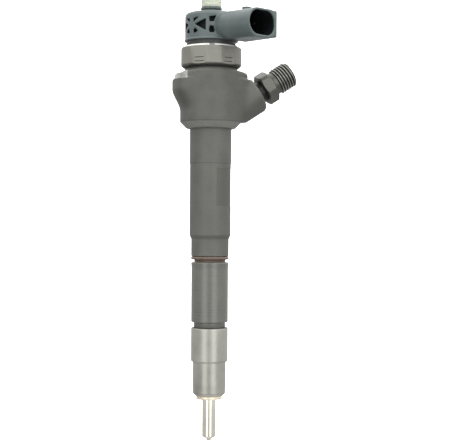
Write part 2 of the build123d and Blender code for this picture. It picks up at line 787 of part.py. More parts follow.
def connector_head():
    """Moulded head: wall with window pockets, socket, return nipple and fuel passage."""
    skirt = turned([
        (0, Z_MOULDING_LOW),
        (R_MOULDING + 0.3, Z_MOULDING_LOW),
        (R_MOULDING + 0.3, Z_MOULDING_LOW + 0.6),
        (R_MOULDING, Z_MOULDING_LOW + 1.2),
        (R_MOULDING, Z_MOULDING_TOP - 1.7),
        (R_MOULDING - 0.55, Z_MOULDING_TOP - 0.55),
        (R_MOULDING - 1.8, Z_MOULDING_TOP),
        (0, Z_MOULDING_TOP),
    ])
    inner = rod(R_MOULDING - LATTICE_DEPTH, Z_MOULDING_LOW, Z_MOULDING_TOP)
    for cutter in lattice():
        skirt -= cutter
    stub = turned([
        (0, Z_MOULDING_TOP - 1),
        (4.8, Z_MOULDING_TOP - 1),
        (4.8, Z_STUB_COLLAR_LOW),
        (5.5, Z_STUB_COLLAR_LOW + 0.3),
        (5.5, Z_STUB_COLLAR_TOP - 0.4),
        (5.2, Z_STUB_COLLAR_TOP),
        (R_NIPPLE, Z_STUB_COLLAR_TOP),
        (R_NIPPLE, 209.2),
        (3.1, 209.2),
        (3.1, 210.6),
        (R_NIPPLE, 210.6),
        (R_NIPPLE, Z_NIPPLE_TOP - 0.6),
        (R_NIPPLE - 0.6, Z_NIPPLE_TOP),
        (0, Z_NIPPLE_TOP),
    ])
    head = skirt + inner + stub + Rot(0, 0, SOCKET_TURN) * socket_shell()
    head -= Rot(0, 0, SOCKET_TURN) * socket_room()
    head -= rod(R_SLEEVE + 0.1, Z_MOULDING_LOW - 1, 187.1)
    head -= rod(1.6, 186.0, Z_NIPPLE_TOP + 1)
    for side in (-2.5, 2.5):
        head -= contact(side, FIT)
    return head


def contact(side, play=0.0):
    """One contact: an upright leg from the winding and a blade along the socket."""
    width = 0.8 + 2 * play
    leg = Pos(5.5, side, 180.2) * Box(width, width, 13.2 + play, align=FROM_BELOW)
    blade = Pos(5.1 - play, side, 192.6 - play) * Box(23.9 + play, width, 0.8 + 2 * play, align=(Align.MIN, Align.CENTER, Align.MIN))
    return Rot(0, 0, SOCKET_TURN) * (leg + blade)


def head_seal_ring():
    """Dark ring under the moulded head."""
    return tube(R_SLEEVE + 0.05, 12.8, Z_MAGNET_NUT_TOP + 0.15, Z_MOULDING_LOW)


def return_seal():
    """O-ring of the return nipple."""
    return o_ring(3.55, 0.44, 209.9)


def return_cap():
    """Ribbed transport cap on the nipple."""
    side = [(4.1, Z_STUB_COLLAR_TOP + 0.05), (R_CAP - 0.12, Z_STUB_COLLAR_TOP + 0.05)]
    for i in range(18):
        low = Z_STUB_COLLAR_TOP + 0.4 + 0.7 * i
        side.append((R_CAP - 0.12, low))
        side.append((R_CAP, low + 0.35))
    side += [
        (R_CAP - 0.12, 217.2),
        (R_CAP - 0.4, 218.9),
        (R_CAP - 1.2, Z_CAP_TOP),
        (0, Z_CAP_TOP),
        (0, 218.0),
        (4.1, 218.0),
    ]
    return turned(side)


NODES = {
    "connector_head": connector_head,
    "terminal_left": lambda: contact(-2.5),
    "terminal_right": lambda: contact(2.5),
    "return_seal": return_seal,
    "return_cap": return_cap,
    "head_seal_ring": head_seal_ring,
    "magnet_sleeve": magnet_sleeve,
    "magnet_core": magnet_core,
    "coil_bobbin": coil_bobbin,
    "coil_winding": coil_winding,
    "magnet_o_ring": magnet_o_ring,
    "magnet_nut": magnet_nut,
    "air_gap_shim": air_gap_shim,
    "valve_spring": valve_spring,
    "valve_spring_shim": valve_spring_shim,
    "armature_plate": armature_plate,
    "armature_pin": armature_pin,
    "armature_clip": armature_clip,
    "overtravel_spring": overtravel_spring,
    "armature_guide": armature_guide,
    "valve_clamp_screw": valve_clamp_screw,
    "ball_holder": ball_holder,
    "valve_ball": valve_ball,
    "valve_piece": valve_piece,
    "high_pressure_ring": high_pressure_ring,
    "injector_body": injector_body,
    "inlet_fitting": inlet_fitting,
    "edge_filter": edge_filter,
    "body_o_ring": body_o_ring,
    "control_plunger": control_plunger,
    "spring_shim": spring_shim,
    "nozzle_spring": lambda: coil_spring(2.75, 0.55, 22.6, 43.0, 9),
    "pressure_pin": pressure_pin,
    "dowel_a": lambda: dowel(-120),
    "dowel_b": lambda: dowel(120),
    "nozzle_body": nozzle_body,
    "nozzle_needle": nozzle_needle,
    "nozzle_nut": nozzle_nut,
    "combustion_washer": combustion_washer,
}

os.makedirs("parts", exist_ok=True)
for name, build in NODES.items():
    export_step(build(), f"parts/{name}.step")
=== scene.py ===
import math

import bmesh
import bpy
import numpy as np
from mathutils import Matrix, Vector


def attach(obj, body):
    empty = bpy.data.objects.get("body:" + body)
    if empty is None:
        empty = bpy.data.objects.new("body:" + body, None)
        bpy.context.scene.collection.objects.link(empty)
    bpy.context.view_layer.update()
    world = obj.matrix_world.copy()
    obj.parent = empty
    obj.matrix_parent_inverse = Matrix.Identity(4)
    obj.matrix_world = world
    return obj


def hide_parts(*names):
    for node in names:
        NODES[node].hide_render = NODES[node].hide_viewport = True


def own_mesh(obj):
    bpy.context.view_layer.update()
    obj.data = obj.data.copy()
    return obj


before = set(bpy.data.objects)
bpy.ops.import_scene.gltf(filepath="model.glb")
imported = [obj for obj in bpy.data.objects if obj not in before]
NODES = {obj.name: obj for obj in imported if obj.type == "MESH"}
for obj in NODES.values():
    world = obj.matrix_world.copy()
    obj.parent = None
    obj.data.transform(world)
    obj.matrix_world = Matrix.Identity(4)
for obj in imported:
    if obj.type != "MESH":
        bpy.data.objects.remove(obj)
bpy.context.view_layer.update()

MM = 0.001
UP = Vector((0, 0, 1))
TURN = 192  # steps round a turned surface

# the inlet's axis, the socket's direction and the middle of the head's windows, as in the CAD
INLET_RISE = math.radians(32.5)
INLET_Z = 143.8
SOCKET_TURN = math.radians(-59.0)
LATTICE_TURN = -152.0

# threads as in the CAD: crest and root radius of the outer one, pitch, low end and high end
NOZZLE_THREAD = (7.95, 7.35, 1.0, 26.0, 37.0)
CLAMP_THREAD = (8.95, 8.35, 1.0, 158.8, 165.8)
MAGNET_THREAD = (13.45, 12.85, 1.0, 173.6, 179.2)
INLET_THREAD = (6.0, 5.3, 1.25, 19.0, 29.8)
THREAD_PLAY = 0.06

# clamp seats on the lobes, brushed panel on the shaft and tool marks on the magnet nut
SEAT_X, SEAT_Y, SEAT_Z = 14.8, 4.5, 166.3
PANEL_TURN, PANEL_Z, PANEL_ACROSS = math.radians(-45), (100.5, 120.2), (-6.9, 8.5)
MARK_FLOORS, MARK_HEIGHT = (174.3, 176.3), 0.42

COARSE_TURN = 96  # steps round a cutter or the stage


# ---------------- mesh tools


def add_object(name, verts, faces, crease=32.0):
    """Object from millimetre points, smooth but for edges over the crease angle."""
    mesh = bpy.data.meshes.new(name)
    mesh.from_pydata(np.asarray(verts, float) * MM, [], faces)
    mesh.update()
    work = bmesh.new()
    work.from_mesh(mesh)
    bmesh.ops.remove_doubles(work, verts=work.verts, dist=1e-8)
    bmesh.ops.recalc_face_normals(work, faces=work.faces)
    work.to_mesh(mesh)
    work.free()
    return finish_object(name, mesh, crease)


def finish_object(name, mesh, crease):
    obj = bpy.data.objects.new(name, mesh)
    bpy.context.scene.collection.objects.link(obj)
    shade(obj, crease)
    return obj


def shade(obj, crease):
    mesh = obj.data
    mesh.polygons.foreach_set("use_smooth", [True] * len(mesh.polygons))
    mesh.set_sharp_from_angle(angle=math.radians(crease))
    mesh.update()


def rounded(points, steps=4):
    """Open outline with each corner that states a third number rounded to that radius."""
    out = []
    last = len(points) - 1
    for i, point in enumerate(points):
        radius = point[2] if len(point) > 2 else 0.0
        here = np.array(point[:2], float)
        if radius <= 0 or i in (0, last):
            out.append(tuple(here))
            continue
        before = np.array(points[i - 1][:2], float) - here
        after = np.array(points[i + 1][:2], float) - here
        la, lb = np.linalg.norm(before), np.linalg.norm(after)
        before, after = before / la, after / lb
        angle = math.acos(max(-1.0, min(1.0, float(before @ after))))
        if angle > math.pi - 0.02:
            out.append(tuple(here))
            continue
        reach = min(radius / math.tan(angle / 2), 0.48 * la, 0.48 * lb)
        true_radius = reach * math.tan(angle / 2)
        middle = before + after
        middle /= np.linalg.norm(middle)
        centre = here + middle * true_radius / math.sin(angle / 2)
        start, end = here + before * reach - centre, here + after * reach - centre
        sweep = math.acos(max(-1.0, min(1.0, float(start @ end) / true_radius**2)))
        for k in range(steps + 1):
            w = k / steps
            spot = (math.sin((1 - w) * sweep) * start + math.sin(w * sweep) * end) / math.sin(sweep)
            out.append(tuple(centre + spot))
    return out


def braced(outline, reach=0.3):
    """Outline with a point just inside each end of its long runs, which keeps the shading true along them."""
    out = [outline[0]]
    for a, b in zip(outline, outline[1:]):
        run = math.dist(a, b)
        if run > 4 * reach:
            for w in (reach / run, 1 - reach / run):
                out.append((a[0] + (b[0] - a[0]) * w, a[1] + (b[1] - a[1]) * w))
        out.append(b)
    return out


def ring_mesh(outline, count, closed=False):
    """Points and faces of an outline taken round Z in equal steps."""
    verts, faces, rows = [], [], []
    for r, z in outline:
        if r < 1e-6:
            rows.append([len(verts)] * count)
            verts.append((0, 0, z))
            continue
        rows.append([len(verts) + i for i in range(count)])
        for i in range(count):
            a = 2 * math.pi * i / count
            verts.append((r * math.cos(a), r * math.sin(a), z))
    pairs = list(zip(rows, rows[1:]))
    if closed:
        pairs.append((rows[-1], rows[0]))
    for low, high in pairs:
        for i in range(count):
            j = (i + 1) % count
            corner = [low[i], low[j], high[j], high[i]]
            face = [v for k, v in enumerate(corner) if v not in corner[:k]]
            if len(face) > 2:
                faces.append(face)
    return verts, faces


def lathe(name, points, closed=False, turn=TURN, place=None):
    """Turned piece from an outline with rounded corners."""
    outline = braced(rounded(points))
    verts, faces = ring_mesh(outline, turn, closed)
    obj = add_object(name, verts, faces)
    if place:
        obj.data.transform(place)
    return obj


def ring(points):
    """Outline of a ring that starts halfway along its last side, so that every corner is rounded."""
    middle = ((points[-1][0] + points[0][0]) / 2, (points[-1][1] + points[0][1]) / 2)
    return [middle] + points + [middle]


def boolean(obj, cutter, how="DIFFERENCE"):
    """Exact boolean, applied; the cutter is removed."""
    mod = obj.modifiers.new("cut", "BOOLEAN")
    mod.operation = how
    mod.solver = "EXACT"
    mod.object = cutter
    depsgraph = bpy.context.evaluated_depsgraph_get()
    mesh = bpy.data.meshes.new_from_object(obj.evaluated_get(depsgraph))
    obj.modifiers.clear()
    old = obj.data
    obj.data = mesh
    bpy.data.meshes.remove(old)
    bpy.data.objects.remove(cutter)


def place_matrix(x, y, z, spot):
    """Matrix with the given axes and place, in metres."""
    m = Matrix((x, y, z)).transposed().to_4x4()
    m.translation = spot
    return m


def inlet_place():
    """Matrix that takes a piece turned about Z onto the inlet's axis."""
    z = Vector((math.cos(INLET_RISE), 0, math.sin(INLET_RISE)))
    x = Vector((0, 1, 0))
    return place_matrix(x, z.cross(x), z, UP * INLET_Z * MM)


# ---------------- distance fields


def polygon_distance(u, v, corners):
    """Signed distance to a closed polygon, negative inside."""
    nearest = np.full(u.shape, 1e12)
    inside = np.zeros(u.shape, bool)
    for (au, av), (bu, bv) in zip(corners, corners[1:] + corners[:1]):
        eu, ev = bu - au, bv - av
        along = np.clip(((u - au) * eu + (v - av) * ev) / (eu * eu + ev * ev), 0, 1)
        nearest = np.minimum(nearest, (u - au - eu * along) ** 2 + (v - av - ev * along) ** 2)
        if ev != 0:
            inside ^= ((av <= v) != (bv <= v)) & (u < au + eu * (v - av) / ev)
    return np.where(inside, -1.0, 1.0) * np.sqrt(nearest)


def box_distance(p, low, high, radius=0.0):
    """Signed distance to a box with rounded edges."""
    out = [np.abs(c - (a + b) / 2) - (b - a) / 2 + radius for c, a, b in zip(p, low, high)]
    beyond = np.sqrt(sum(np.maximum(o, 0) ** 2 for o in out))
    within = np.minimum(np.maximum(np.maximum(out[0], out[1]), out[2]), 0)
    return beyond + within - radius


def union(a, b, soft):
    """Both shapes, with a soft inside corner where they meet."""
    h = np.clip(0.5 + 0.5 * (b - a) / soft, 0, 1)
    return b * (1 - h) + a * h - soft * h * (1 - h)


def common(a, b, soft):
    """What both shapes share, with a soft edge."""
    return -union(-a, -b, soft)


def minus(a, b, soft):
    """The first shape without the second, with a soft edge."""
    return -union(-a, b, soft)


def smooth_step(t):
    """Share that rises gently from 0 to 1."""
    t = np.clip(t, 0, 1)
    return t * t * (3 - 2 * t)


def surface_net(distance, low, high, step, block=6):
    """Points and faces of a field's zero surface, one point in each cell that it crosses."""
    counts = [block * math.ceil((b - a) / step / block) for a, b in zip(low, high)]
    axes = [a + step * np.arange(n) for a, n in zip(low, counts)]
    middles = [a + step * (block * np.arange(n // block) + (block - 1) / 2) for a, n in zip(low, counts)]
    coarse = distance(*np.meshgrid(*middles, indexing="ij"))
    near = np.abs(coarse) < 1.4 * block * step
    field, active = coarse, near
    for axis in range(3):
        field = np.repeat(field, block, axis)
        active = np.repeat(active, block, axis)
    spots = np.nonzero(active)
    field[spots] = distance(*[a[i] for a, i in zip(axes, spots)])

    # cells with corners on both sides of the surface, and the middle of their edges' crossings
    inside = field < 0
    total = np.zeros([n - 1 for n in counts], int)
    offsets = [(i, j, k) for i in (0, 1) for j in (0, 1) for k in (0, 1)]
    for i, j, k in offsets:
        total += inside[i : i + counts[0] - 1, j : j + counts[1] - 1, k : k + counts[2] - 1]
    cells = np.nonzero((total > 0) & (total < 8))
    index = np.full(total.shape, -1)
    index[cells] = np.arange(len(cells[0]))

    points = np.zeros((len(cells[0]), 3))
    crossings = np.zeros(len(cells[0]))
    for start in offsets:
        for axis in range(3):
            if start[axis]:
                continue
            end = tuple(1 if n == axis else c for n, c in enumerate(start))
            a = field[tuple(c + o for c, o in zip(cells, start))]
            b = field[tuple(c + o for c, o in zip(cells, end))]
            crossed = (a < 0) != (b < 0)
            w = np.where(crossed, a / np.where(crossed, a - b, 1), 0)
            for n in range(3):
                points[:, n] += np.where(crossed, start[n] + (w if n == axis else 0), 0)
            crossings += crossed
    points = (points / crossings[:, None] + np.stack(cells, 1)) * step + np.array(low)

    # one face across each grid edge that the surface crosses
    faces = []
    for axis in range(3):
        b_axis, c_axis = (axis + 1) % 3, (axis + 2) % 3
        ahead = np.roll(inside, -1, axis)
        valid = np.ones(inside.shape, bool)
        for n in range(3):
            ends = [slice(None)] * 3
            ends[n] = -1
            valid[tuple(ends)] = False
            if n != axis:
                ends[n] = 0
                valid[tuple(ends)] = False
        for flip in (False, True):
            hit = valid & (inside != ahead) & (inside if flip else ahead)
            at = [np.array(c) for c in np.nonzero(hit)]
            quad = []
            for db, dc in ((0, 0), (1, 0), (1, 1), (0, 1)):
                cell = list(at)
                cell[b_axis] = at[b_axis] - db
                cell[c_axis] = at[c_axis] - dc
                quad.append(index[tuple(cell)])
            quad = np.stack(quad, 1)
            faces.append(quad if flip else quad[:, ::-1])
    faces = np.concatenate(faces)

    # two steps along the field's slope put the points on the surface
    nudge = 0.02
    for _ in range(2):
        here = distance(*points.T)
        slope = []
        for n in range(3):
            moved = points.copy()
            moved[:, n] += nudge
            slope.append((distance(*moved.T) - here) / nudge)
        slope = np.stack(slope, 1)
        size = np.maximum((slope**2).sum(1), 0.2)
        shift = slope * (here / size)[:, None]
        points -= np.clip(shift, -0.4 * step, 0.4 * step)
    return points, faces


def field_object(name, distance, low, high, step, crease):
    """Object from the zero surface of a distance field, in millimetres."""
    points, faces = surface_net(distance, low, high, step)
    mesh = bpy.data.meshes.new(name)
    mesh.from_pydata((points * MM).tolist(), [], faces.tolist())
    mesh.update()
    return finish_object(name, mesh, crease)


# ---------------- forged body


def thread_rings(crest, root, pitch, low, high, play=0.0):
    """Corners of a turned thread's side, low end first; play widens it for the inner thread."""
    count = round((high - low) / pitch)
    step = (high - low) / count
    shape = [(root + play, 0.0), (root + play, 0.12), (crest + play, 0.46), (crest + play, 0.66)]
    corners = [(r, low + (i + share) * step) for i in range(count) for r, share in shape]
    return corners + [(root + play, high)]


def lobe_radius(z):
    """Radius of the two side lobes: an S-shaped flank, then the stepped collar above it."""
    rise = smooth_step(np.clip((z - 149.2) / 12.2, 0, 1) ** 1.08)
    flank = 16.05 + 4.2 * rise
    collar_z = [165.7, 166.3, 166.8, 168.6, 169.3, 169.8, 170.2, 170.5]
    collar_r = [20.25, 19.9, 19.2, 19.15, 18.8, 18.2, 17.2, 16.0]
    return np.minimum(flank, np.interp(z, collar_z, collar_r))


def forging_distance(x, y, z):
    """Head of the body: round with two lobes and the inlet's boss, over the cone to the shaft."""
    round_r, top = 16.1, 170.6
    ledge_r, ledge_z = 19.2, 166.6
    r = np.hypot(x, y)
    turn = np.degrees(np.arctan2(np.abs(y), np.abs(x)))
    share = (1 - smooth_step((turn - 20) / 40)) ** 1.5
    radius = round_r + (lobe_radius(z) - round_r) * share
    head = (r - radius) / np.sqrt(1 + (0.5 * share) ** 2)
    head = common(head, z - top, 0.9)
    c, s = math.cos(INLET_RISE), math.sin(INLET_RISE)
    along = x * c + (z - INLET_Z) * s
    off = np.hypot(-x * s + (z - INLET_Z) * c, y)
    boss = [(-5, 3), (9.2, 3), (9.05, 27.9), (8.5, 28.9), (7.4, 29.3), (-5, 29.3)]
    body = union(head, polygon_distance(off, along, boss) - 0.6, 3.6)
    cone_r = [8, 10.7, 12.5, 12.9, 15.8, 16.3, 24]
    cone_z = [140.4, 140.7, 140.85, 141.05, 143.95, 144.3, 144.6]
    body = common(body, (np.interp(r, cone_r, cone_z) - z) * 0.74, 0.3)
    body = minus(body, np.maximum(ledge_r - r, ledge_z - z), 0.25)
    for way in (-1, 1):
        seat = np.maximum(np.maximum(SEAT_X - way * x, -SEAT_Y - way * y), SEAT_Z - z)
        body = minus(body, seat, 0.2)
    return body


def body_core():
    """Turned part of the body, from the nozzle face through the head to the magnet's thread."""
    side = [(0, 20), (7.15, 20), (7.15, 25.6)]
    side += thread_rings(*NOZZLE_THREAD)
    side += [
        (7.35, 37.25), (8.2, 37.25, 0.2), (8.2, 38.5), (8.2, 40.1, 0.4), (9.4, 40.1, 0.1), (9.62, 40.4, 0.15),
        (9.62, 68.0, 3), (9.8, 70.9, 0.15), (9.5, 71.2, 0.15), (8.15, 71.2, 0.25), (8.15, 74.4, 0.25),
        (9.6, 74.4, 0.15), (9.8, 74.6, 0.15), (9.8, 83.4, 1.2), (10.7, 85.3, 0.5), (10.7, 122.6, 0.2),
        (10.87, 122.8, 0.2), (10.87, 145), (13.7, 145.2), (13.7, 173.0, 0.2), (12.85, 173.4),
    ]
    side += thread_rings(*MAGNET_THREAD)
    side += [(12.6, 179.5), (0, 179.5)]
    return lathe("body_core", side)


def bore_cutter():
    """Stepped bore along the body's axis."""
    side = [
        (0, 19), (3.6, 19), (3.6, 44), (2.5, 44), (2.5, 134.5), (4.6, 134.5), (4.6, 136.5), (6.2, 136.5),
        (6.2, 152), (8.2, 152), (8.2, 158.6),
    ]
    side += thread_rings(*CLAMP_THREAD, THREAD_PLAY)
    side += [(10.2, 166), (10.2, 171.5), (11.2, 171.5), (11.2, 181), (0, 181)]
    return lathe("bore_cutter", side, turn=COARSE_TURN)


def inlet_cutter():
    """Threaded socket of the inlet stub and the drilling behind it."""
    side = [(0, 5.5), (1.5, 5.5), (1.5, 18), (5.0, 18), (5.0, 18.5)]
    side += thread_rings(*INLET_THREAD, THREAD_PLAY)
    side += [(6.2, 30.6), (0, 30.6)]
    return lathe("inlet_cutter", side, turn=COARSE_TURN, place=inlet_place())


def rod_cutter(name, start, end, radius):
    """Round drilling from one point to another."""
    a, b = Vector(start) * MM, Vector(end) * MM
    length = (b - a).length / MM
    place = (b - a).to_track_quat("Z", "Y").to_matrix().to_4x4()
    place.translation = a
    return lathe(name, [(0, 0), (radius, 0), (radius, length), (0, length)], turn=24, place=place)


def panel_cutter():
    """Curved slab that leaves the shallow panel on the shaft."""
    floor_r, outer_r = 10.58, 12
    low, high = PANEL_Z
    slab = lathe("panel", [(floor_r, low), (outer_r, low), (outer_r, high), (floor_r, high), (floor_r, low)])
    left, right = PANEL_ACROSS
    wedge = [(0, left), (16, left), (16, right), (0, right)]
    boolean(slab, prism("wedge", wedge, 100, 122, Matrix.Rotation(PANEL_TURN, 4, "Z")), "INTERSECT")
    return slab


def forged_body():
    """Body of the injector with its bores, one closed mesh."""
    low, high = (-20.8, -16.6, 140.2), (31.0, 16.6, 171.2)
    body = field_object("forged_body", forging_distance, low, high, 0.36, crease=40)
    boolean(body, body_core(), "UNION")
    boolean(body, bore_cutter())
    boolean(body, inlet_cutter())
    boolean(body, rod_cutter("feed", (5.5, 0, 19), (8.2, 0, 148.5), 0.9))
    boolean(body, rod_cutter("leak", (-2.0, 0, 46), (-10.6, 0, 168.5), 0.6))
    boolean(body, panel_cutter())
    shade(body, 36)
    stand_in(body, "injector_body", "injector", "phosphated_steel")


# ---------------- nozzle end


def nozzle_nut():
    """Clamping nut of the nozzle, with its inner thread."""
    side = [
        (5.2, 1.6), (7.0, 1.6, 0.25), (8.45, 2.9, 0.9), (8.63, 7.7, 4), (8.63, 19.5, 0.15), (9.2, 19.5, 0.1),
        (9.63, 19.9, 0.2), (9.63, 36.7, 0.25), (9.2, 37.2, 0.15), (7.6, 37.2, 0.1),
    ]
    side += thread_rings(*NOZZLE_THREAD, THREAD_PLAY)[::-1]
    side += [(7.2, 25.6), (7.2, 5.0), (5.2, 5.0), (5.2, 1.6)]
    nut = lathe("nozzle_nut_shell", side)
    stand_in(nut, "nozzle_nut", "injector", "nozzle_nut_steel")


def nozzle_body():
    """Nozzle: round tip, long shank, collar, the needle's bore with its gallery, and the spray holes."""
    side = [
        (0, -22.0), (0.75, -21.9, 0.3), (1.2, -21.4, 0.2), (1.25, -20.9, 0.2), (3.35, -19.7, 0.15),
        (3.5, -19.4, 0.2), (3.5, 1.9, 0.1), (4.9, 1.9, 0.1), (4.9, 5.0), (7.1, 5.0, 0.2), (7.1, 20.0, 0.2),
        (2.02, 20.0), (2.02, 9.2), (3.2, 8.4), (3.2, 4.6), (1.9, 3.6), (1.9, -17.6), (0.45, -20.11),
        (0.45, -21.0, 0.2), (0, -21.2),
    ]
    body = lathe("nozzle_tube", side, turn=128)
    boolean(body, rod_cutter("feed", (2.6, 0, 6.0), (5.6, 0, 20.5), 0.9))
    holes, hole_radius, reach = 8, 0.08, 3.0
    for i in range(holes):
        turn = 2 * math.pi * (i + 0.5) / holes
        end = (reach * math.cos(turn), reach * math.sin(turn), -21.9)
        boolean(body, rod_cutter("spray", (0, 0, -20.6), end, hole_radius))
    shade(body, 32)
    stand_in(body, "nozzle_body", "injector", "nozzle_steel")


def sealing_washer():
    """Flat copper washer under the nozzle nut."""
    side = [(3.62, 0, 0.25), (6.7, 0, 0.3), (6.7, 1.6, 0.3), (3.62, 1.6, 0.25)]
    washer = lathe("sealing_washer", ring(side), closed=True)
    stand_in(washer, "combustion_washer", "injector", "copper_washer")


def groove_seal():
    """Sealing ring of the body, a little flattened by its groove, with its moulding line."""
    ring_r, cord_r, middle, steps = 9.07, 0.88, 73.45, 28
    moulding_line, flattening = 0.03, 0.06
    side = []
    for k in range(steps):
        a = 2 * math.pi * k / steps
        r = ring_r + cord_r * math.cos(a) + (moulding_line if k == 0 else 0.0)
        side.append((r, middle + cord_r * math.sin(a) * (1 - flattening * abs(math.sin(a)))))
    seal = lathe("groove_seal", side, closed=True)
    stand_in(seal, "body_o_ring", "injector", "brown_rubber")


# ---------------- high-pressure inlet


def helical_ridge(name, crest, root, pitch, low, high, steps=96):
    """Closed ridge of a thread, whose ends sink into the core."""
    turns = (high - low) / pitch
    count = round(turns * steps)
    sink = root - 0.35
    flank = [(-0.41, 0.0), (-0.41, 0.27), (-0.13, 0.92), (-0.08, 1.0)]
    profile = flank + [(-dz, share) for dz, share in reversed(flank)]
    verts = []
    for i in range(count + 1):
        a = 2 * math.pi * i / steps
        fade = float(smooth_step(min(i, count - i) / (0.45 * steps)))
        for dz, share in profile:
            r = sink + (crest - sink) * share * (0.3 + 0.7 * fade)
            verts.append((r * math.cos(a), r * math.sin(a), low + pitch * (i / steps + dz)))
    return add_object(name, verts, tube_faces(count, len(profile)))


def tube_faces(count, n):
    """Faces of a tube of count stretches between sections of n points, closed at both ends."""
    faces = []
    for i in range(count):
        for k in range(n):
            j = (k + 1) % n
            faces.append((i * n + k, i * n + j, (i + 1) * n + j, (i + 1) * n + k))
    return faces + [tuple(range(n)), tuple(count * n + k for k in range(n))]


def prism(name, outline, low, high, place=None):
    """Closed prism from a plan outline."""
    verts = [(x, y, z) for z in (low, high) for x, y in outline]
    obj = add_object(name, verts, tube_faces(1, len(outline)))
    if place:
        obj.data.transform(place)
    return obj


def regular(sides, across_flats, turn):
    """Corners of a regular polygon."""
    radius = across_flats / 2 / math.cos(math.pi / sides)
    steps = [turn + 2 * math.pi * i / sides for i in range(sides)]
    return [(radius * math.cos(a), radius * math.sin(a)) for a in steps]


def inlet_stub():
    """Inlet fitting: shank in the boss, chamfered hexagon, plain neck, helical thread and sealing cone."""
    side = [(1.2, 18.1), (4.9, 18.1, 0.2), (4.9, 18.8)]
    side += thread_rings(*INLET_THREAD)
    side += [
        (5.3, 29.9), (5.65, 30.1, 0.1), (5.65, 33.5), (6.1, 34), (6.1, 50.8, 0.1), (5.4, 51.1, 0.15),
        (4.4, 51.1, 0.12), (2.2, 47.3, 0.1), (2.2, 21.0), (1.2, 20.4),
    ]
    stub = lathe("inlet_stub", side + side[:1], turn=144)
    side = [(0, 32.9), (7.7, 32.9, 0.1), (8.7, 33.5, 0.3), (8.7, 38.0, 0.4), (7.5, 38.9, 0.2), (0, 38.9)]
    hexagon = lathe("hexagon", side)
    boolean(hexagon, prism("flats", regular(6, 16.0, math.radians(20)), 30, 42), "INTERSECT")
    boolean(hexagon, lathe("hexagon_bore", [(0, 30), (5.0, 30), (5.0, 42), (0, 42)]))
    boolean(stub, hexagon, "UNION")
    ridge = helical_ridge("ridge", 7.0, 6.0, 1.5, 41.3, 50.9)
    trim = lathe("trim", [(0, 40), (7.3, 40), (7.3, 50.2), (6.2, 51.05), (0, 51.05)])
    boolean(ridge, trim, "INTERSECT")
    boolean(stub, ridge, "UNION")
    shade(stub, 30)
    stub.data.transform(inlet_place())
    stand_in(stub, "inlet_fitting", "injector", "inlet_steel")


# ---------------- magnet nut


def magnet_nut():
    """Clamping nut with six milled flats, a pair of tool marks on each, chamfers and its inner thread."""
    side = [
        (13.85, 172.4), (14.5, 172.4, 0.15), (16.0, 173.7, 0.25), (16.0, 182.4, 0.35), (12.85, 184.2, 0.2),
        (12.45, 184.2, 0.1), (12.45, 181.55), (13.6, 181.55), (13.6, 179.3),
    ]
    side += thread_rings(*MAGNET_THREAD, THREAD_PLAY)[::-1]
    side += [(13.85, 173.2), (13.85, 172.4)]
    nut = lathe("magnet_nut_ring", side)
    flat = [(15.4, -7), (19, -7), (19, 7), (15.4, 7)]
    mark = [(15.1, -2.3), (15.45, -2.9), (19, -2.9), (19, 2.9), (15.45, 2.9), (15.1, 2.3)]
    for i in range(6):
        place = Matrix.Rotation(math.radians(-127 + 60 * i), 4, "Z")
        boolean(nut, prism("flat", flat, 170, 190, place))
        for z in MARK_FLOORS:
            boolean(nut, prism("mark", mark, z, z + MARK_HEIGHT, place))
    shade(nut, 28)
    stand_in(nut, "magnet_nut", "injector", "nut_steel")


# ---------------- moulded head

HEAD_R = 13.7
POCKET_FLOOR = 11.3
SOCKET_START, SOCKET_END = 2.0, 36.8
TERMINALS = (-2.5, 2.5)  # places of the two terminals across the socket
TERMINAL_SIZE = 0.9

# windows on one side of a lattice's middle, as degrees from it and height
POCKETS = [
    [(11.3, 193.8), (36.3, 190.6), (36.3, 196.2)],
    [(6.5, 196.8), (19.5, 197.4), (7.0, 195.2)],
    [(6.5, 190.8), (7.5, 189.3), (18.0, 190.2), (11.0, 191.9)],
    [(44.7, 197.2), (59.4, 197.8), (55.5, 194.9), (46.0, 194.9)],
    [(44.6, 190.4), (46.5, 189.3), (55.0, 189.4), (56.6, 190.6), (55.0, 192.5), (46.0, 192.5)],
]


def socket_section(s, z, near, far, low, high, r_near, r_far):
    """Distance to the socket's D-shaped section, round on its near side and squarer on its far side."""
    radius = np.where(s < (near + far) / 2, r_near, r_far)
    qs = np.abs(s - (near + far) / 2) - (far - near) / 2 + radius
    qz = np.abs(z - (low + high) / 2) - (high - low) / 2 + radius
    return np.minimum(np.maximum(qs, qz), 0) + np.hypot(np.maximum(qs, 0), np.maximum(qz, 0)) - radius


